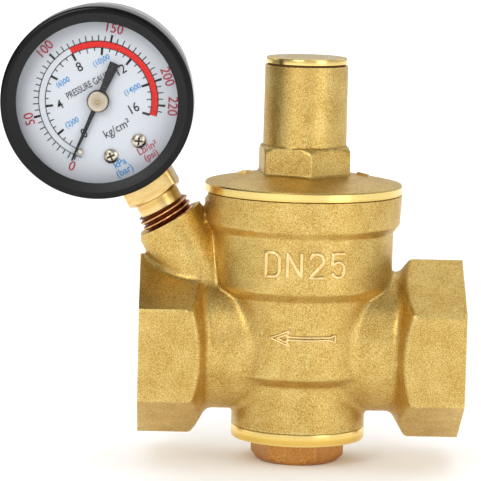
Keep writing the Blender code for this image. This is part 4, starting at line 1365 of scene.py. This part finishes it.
def scale_ticks():
    """Both scales: wide ticks at the numerals, thin ones between them."""
    ticks = []
    for psi in range(5, 226, 5):
        angle = SCALE_ZERO + psi * PER_PSI
        if psi % 50 == 0 or psi == 220:
            ticks.append(tick(angle, 15.5, 17.4, 0.58))
        else:
            ticks.append(tick(angle, 15.5, 17.0 if psi % 10 == 0 else 16.75, 0.27))
    for half in range(1, 2 * FULL_KG + 1):
        angle = SCALE_ZERO + half * 0.5 * PER_KG
        if half % 4 == 0:
            ticks.append(tick(angle, 11.8, 13.8, 0.62))
        else:
            ticks.append(tick(angle, 12.5 if half % 2 == 0 else 12.9, 13.8, 0.27))
    return ticks


SCALE_END = SCALE_ZERO + FULL_KG * PER_KG
arcs = [band(SCALE_ZERO, SCALE_END, inner, outer) for inner, outer in ((13.66, 13.9), (15.38, 15.62))]
warning = band(SCALE_ZERO + 8 * PER_KG, SCALE_END, 13.8, 15.5)
dial_sheet("dial_print_red_band", [warning], band_ink, 0.03)
dial_sheet("dial_print_ticks", scale_ticks() + arcs, black_ink, 0.055, 0.05)
print("ticks printed:", len(scale_ticks()))

# %% [markdown]
# ## Numerals and words
#
# Letters are text curves, thickened a little as ink spreads, turned to meshes and laid on the dial. The
# inner numerals stand upright when the stem points down. The outer ones follow the arc, tops outward.
# Small words get less weight, because their counters would close.

# %% Numerals and words


def dial_text(name, words, angle, radius, height, finish, turn=0.0, squeeze=0.9, weight=0.028):
    """Letters on the dial, centred at (angle, radius) and turned from the gauge's upright."""
    data = bpy.data.curves.new(name, "FONT")
    data.body = words
    data.size = height / 0.7
    data.align_x = "CENTER"
    data.align_y = "CENTER"
    data.extrude = 0.012
    data.offset = weight
    data.resolution_u = 4
    text = bpy.data.objects.new(name, data)
    bpy.context.collection.objects.link(text)
    bpy.context.view_layer.update()
    mesh = bpy.data.meshes.new_from_object(text.evaluated_get(bpy.context.evaluated_depsgraph_get()))
    bpy.data.objects.remove(text, do_unlink=True)
    at = Matrix.Translation(dial_point(angle, radius, 0.06))
    stand = Matrix.Rotation(math.radians(turn), 4, "Y") @ Matrix.Rotation(math.radians(90), 4, "X")
    narrow = Matrix.Scale(squeeze, 4, (1, 0, 0))
    mesh.transform(Matrix.Scale(MM, 4) @ GAUGE_PLACE @ at @ stand @ narrow)
    made = bpy.data.objects.new(name, mesh)
    bpy.context.collection.objects.link(made)
    mesh.materials.clear()
    mesh.materials.append(finish)
    return settle(made, "valve", "dial_white")


# each numeral has its own radius, and a shift in degrees that keeps it clear of its tick
for value, radius, shift in ((0, 9.4, 6.8), (4, 10.0, -0.4), (8, 9.9, 0), (12, 9.7, -1.9), (16, 9.3, -2.2)):
    angle = SCALE_ZERO + value * PER_KG + shift
    dial_text(f"dial_numeral_{value}", str(value), angle, radius, 2.45, black_ink)
for value, radius in ((2, 9.0), (6, 10.3), (10, 10.4), (14, 9.3)):
    angle = SCALE_ZERO + value * PER_KG
    dial_text(f"dial_numeral_blue_{value}", f"({value})00", angle, radius, 1.4, blue_ink)
for value, radius, shift in ((0, 18.3, 5.6), (50, 18.5, -0.4), (100, 19.1, 0), (150, 19.1, 0),
                             (200, 18.9, -0.3), (220, 19.2, -0.2)):
    angle = SCALE_ZERO + value * PER_PSI + shift
    dial_text(f"dial_numeral_psi_{value}", str(value), angle, radius, 2.5, red_ink, turn=angle - 180,
              squeeze=0.95)
dial_text("dial_words_title", "PRESSURE GAUGE", 180, 4.7, 1.8, black_ink, squeeze=0.66, weight=0.018)
dial_text("dial_words_unit", "kg/cm²", -4.5, 8.7, 2.2, black_ink, weight=0.012)
dial_text("dial_words_kpa", "kPa", 10.2, 17.2, 1.9, blue_ink)
dial_text("dial_words_bar", "(bar)", 8.6, 19.5, 1.9, blue_ink)
dial_text("dial_words_lb", "Lb/in²", -17.0, 17.6, 1.9, red_ink)
dial_text("dial_words_psi", "(psi)", -15.0, 19.7, 1.8, red_ink)
print("dial printed")

# %% [markdown]
# ## The pointer
#
# A stamped strip in black paint: long and thin to the zero, with a short wide tail that balances it. A
# turned collet grips the arbor, and the arbor's brass end shows as a dot in the middle.

# %% Pointer and hub
POINTER_REST = 52.8         # degrees clockwise from the stem


def pointer_blade():
    """The strip and its round middle, with stamped edges."""
    angle = math.radians(POINTER_REST)
    outward = Vector((-math.sin(angle), -math.cos(angle)))
    side = Vector((-outward.y, outward.x))
    shape = [(17.0, 0.20), (16.4, 0.26), (3.2, 0.62), (-3.0, 0.85), (-10.6, 1.32), (-10.8, 1.28)]
    points = [outward * r + side * w for r, w in shape]
    points += [outward * r - side * w for r, w in reversed(shape)]
    place = GAUGE_PLACE @ TO_AXIS["Y"]
    bm = prism([(p.x, -p.y) for p in points], -10.9, -10.4, place)
    blade = link_mesh("pointer_blade", bm, pointer_paint)
    plate = turned([(0, -10.93), (2.9, -10.93), (2.9, -10.37), (0, -10.37)], 64, "Y", place=GAUGE_PLACE)
    combine(blade, [link_mesh("tool", plate)], "UNION")
    hole = turned([(0, -13), (1.05, -13), (1.05, -9), (0, -9)], 32, "Y", place=GAUGE_PLACE)
    combine(blade, [link_mesh("tool", hole)])
    edge = blade.modifiers.new("stamped_edge", "BEVEL")
    edge.width = 0.06 * MM
    edge.segments = 2
    edge.limit_method = "ANGLE"
    return apply_modifiers(blade)


pointer_paint = ink("black_pointer_paint", "1d1e20", "2a2b2d")
nickel = turned_metal("nickel_plated_collet", "c4b8a4", "9c8d78", "Y", 0.3, HUB, GAUGE_EULER, 0.3)
settle(pointer_blade(), "pointer", "black_paint", "pointer", sharp=30)
hub_outline = rounded([(0.42, -12.0), (2.64, -12.0), (2.64, -11.05), (0.42, -11.05)],
                      [0.1, 0.25, 0.05, 0.05], 4, closed=True)
hub = link_mesh("pointer_collet", turned(hub_outline, 96, "Y", closed=True, place=GAUGE_PLACE), nickel)
settle(hub, "pointer", "stainless_steel", "pointer_hub", sharp=30)
dot_outline = rounded([(0, -12.03), (0.36, -12.03), (0.36, -11.32), (0, -11.32)], [0, 0.12, 0.05, 0], 3)
dot = link_mesh("arbor_end", turned(dot_outline, 32, "Y", place=GAUGE_PLACE), gauge_brass)
settle(dot, "pointer", "stainless_steel", sharp=30)

print("pointer and collet ready")

# %% [markdown]
# ## Dial screws and stop pin
#
# Two domed cross-head screws hold the dial to the movement, and a pin beside the zero stops the pointer.
# The crosses are cut as two slots with tapered flanks, and their walls get a darker finish: painted
# shade.

# %% Dial screws and stop pin


def dial_screw(index, side):
    """One screw: a domed head, a shank and a cross recess."""
    at = GAUGE_PLACE @ Matrix.Translation((side * SCREW_SIDE, 0, SCREW_DROP))
    dome = rounded([(0, -10.35), (1.1, -10.3), (1.9, -9.85), (1.9, -9.36), (0.8, -9.36), (0.8, -5.3),
                    (0, -5.3)], [0, 0.6, 0.2, 0.05, 0.05, 0.1, 0], 4)
    screw = link_mesh(f"dial_screw_head_{index}", turned(dome, 64, "Y", place=at), screw_steel)
    slots = []
    for turn in (20 + side * 14, 110 + side * 14):
        spin = at @ Matrix.Rotation(math.radians(turn), 4, "Y")
        slot = prism([(-1.3, -11), (1.3, -11), (0.9, -9.6), (-0.9, -9.6)], -0.25, 0.25, spin)
        slots.append(link_mesh("tool", slot))
    combine(screw, slots)
    to_screw = at.inverted()

    def in_recess(p):
        """The walls of the cross."""
        there = to_screw @ p
        return math.hypot(there.x, there.z) < 1.15 and -10.2 < there.y < -9.5

    # the walls of the cross get painted shade
    second_finish(screw, recess_painted_shade_steel, in_recess)
    return screw


screw_steel = turned_metal("nickel_plated_screw", "d8cfbe", "a89b86", "Y", 0.24, HUB, GAUGE_EULER, 0.3)
# a dark copy of the steel for the cross recess: painted shade
recess_painted_shade_steel = turned_metal("steel_recess_painted_shade", "4d4338", "30291f", "Y", 0.5, HUB, GAUGE_EULER, 0.3)
for index, side in enumerate((-1, 1), start=1):
    settle(dial_screw(index, side), "valve", "stainless_steel", f"dial_screw_{index}", sharp=30)
pin_place = GAUGE_PLACE @ Matrix.Translation(dial_point(48.2, 14.0) - Vector((0, DIAL_FACE, 0)))
pin_outline = rounded([(0, -11.2), (0.72, -11.2), (0.72, DIAL_FACE), (0, DIAL_FACE)], [0, 0.3, 0, 0], 4)
pin = link_mesh("zero_stop_pin", turned(pin_outline, 32, "Y", place=pin_place), screw_steel)
settle(pin, "valve", "turned_brass", "stop_pin", sharp=30)
print("two dial screws and the stop pin ready")

# %% [markdown]
# ## The pieces inside
#
# The frame's own solids already have the right shape for the hidden pieces, so they only need their
# real finishes: nitrile rubber, spring wire, brown fibre, drawn bronze and turned brass.

# %% Finishes for the hidden pieces
spring_wire = turned_metal("drawn_spring_steel_wire", "a8a8ac", "808085", "Z", 0.3)
bronze_tube = cast_brass("drawn_bronze_tube", "c58a52", "b0743f", "94592c", 0.3, 0.2, 0.004)
steel_bar = turned_metal("turned_stainless_steel", "d2d2d4", "a8a8ac", "Y", 0.25, HUB, GAUGE_EULER)
movement_brass = turned_metal("stamped_movement_brass", "f0d493", "cda353", "Y", 0.25, HUB, GAUGE_EULER)


# moulded rubber is matt and nearly black; pressed fibre is brown paper, boiled hard
rubber = grained_finish("nitrile_rubber_moulded", "161616", "252525", 0.3, 0.62, 0.78, 0.02, detail=4.0,
                        Specular_IOR_Level=0.35)
fibre = grained_finish("vulcanised_fibre_washer", "553519", "74502c", 0.25, 0.72, 0.88, 0.03, detail=4.0,
                       Specular_IOR_Level=0.35)

FINISHES = {
    turned_brass: ["adjusting_screw", "upper_spring_seat", "piston", "valve_disc_holder", "disc_nut"],
    movement_brass: ["movement_front_plate", "movement_back_plate", "movement_pillar_1",
                     "movement_pillar_2", "sector_gear", "link_rod"],
    steel_bar: ["pinion_arbor"] + [f"movement_screw_{number}" for number in range(1, 5)],
    spring_wire: ["main_spring", "hairspring"],
    bronze_tube: ["bourdon_tube", "tube_tip"],
    rubber: ["bonnet_o_ring", "bottom_plug_o_ring", "piston_o_ring", "valve_disc_seal", "lens_gasket"],
    fibre: ["cap_washer"]}
for finish, names in FINISHES.items():
    for name in names:
        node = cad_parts[name]
        node.data.materials.clear()
        node.data.materials.append(finish)
print("inner pieces:", sum(len(names) for names in FINISHES.values()))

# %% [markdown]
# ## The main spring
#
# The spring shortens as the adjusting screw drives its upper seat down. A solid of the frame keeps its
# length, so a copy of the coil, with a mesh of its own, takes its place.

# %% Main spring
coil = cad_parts["main_spring"]
spring = bpy.data.objects.new("main_spring_coil", coil.data.copy())
spring.matrix_world = coil.matrix_world.copy()
bpy.context.collection.objects.link(spring)
settle(spring, "valve", "spring_steel", "main_spring")
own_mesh(spring)
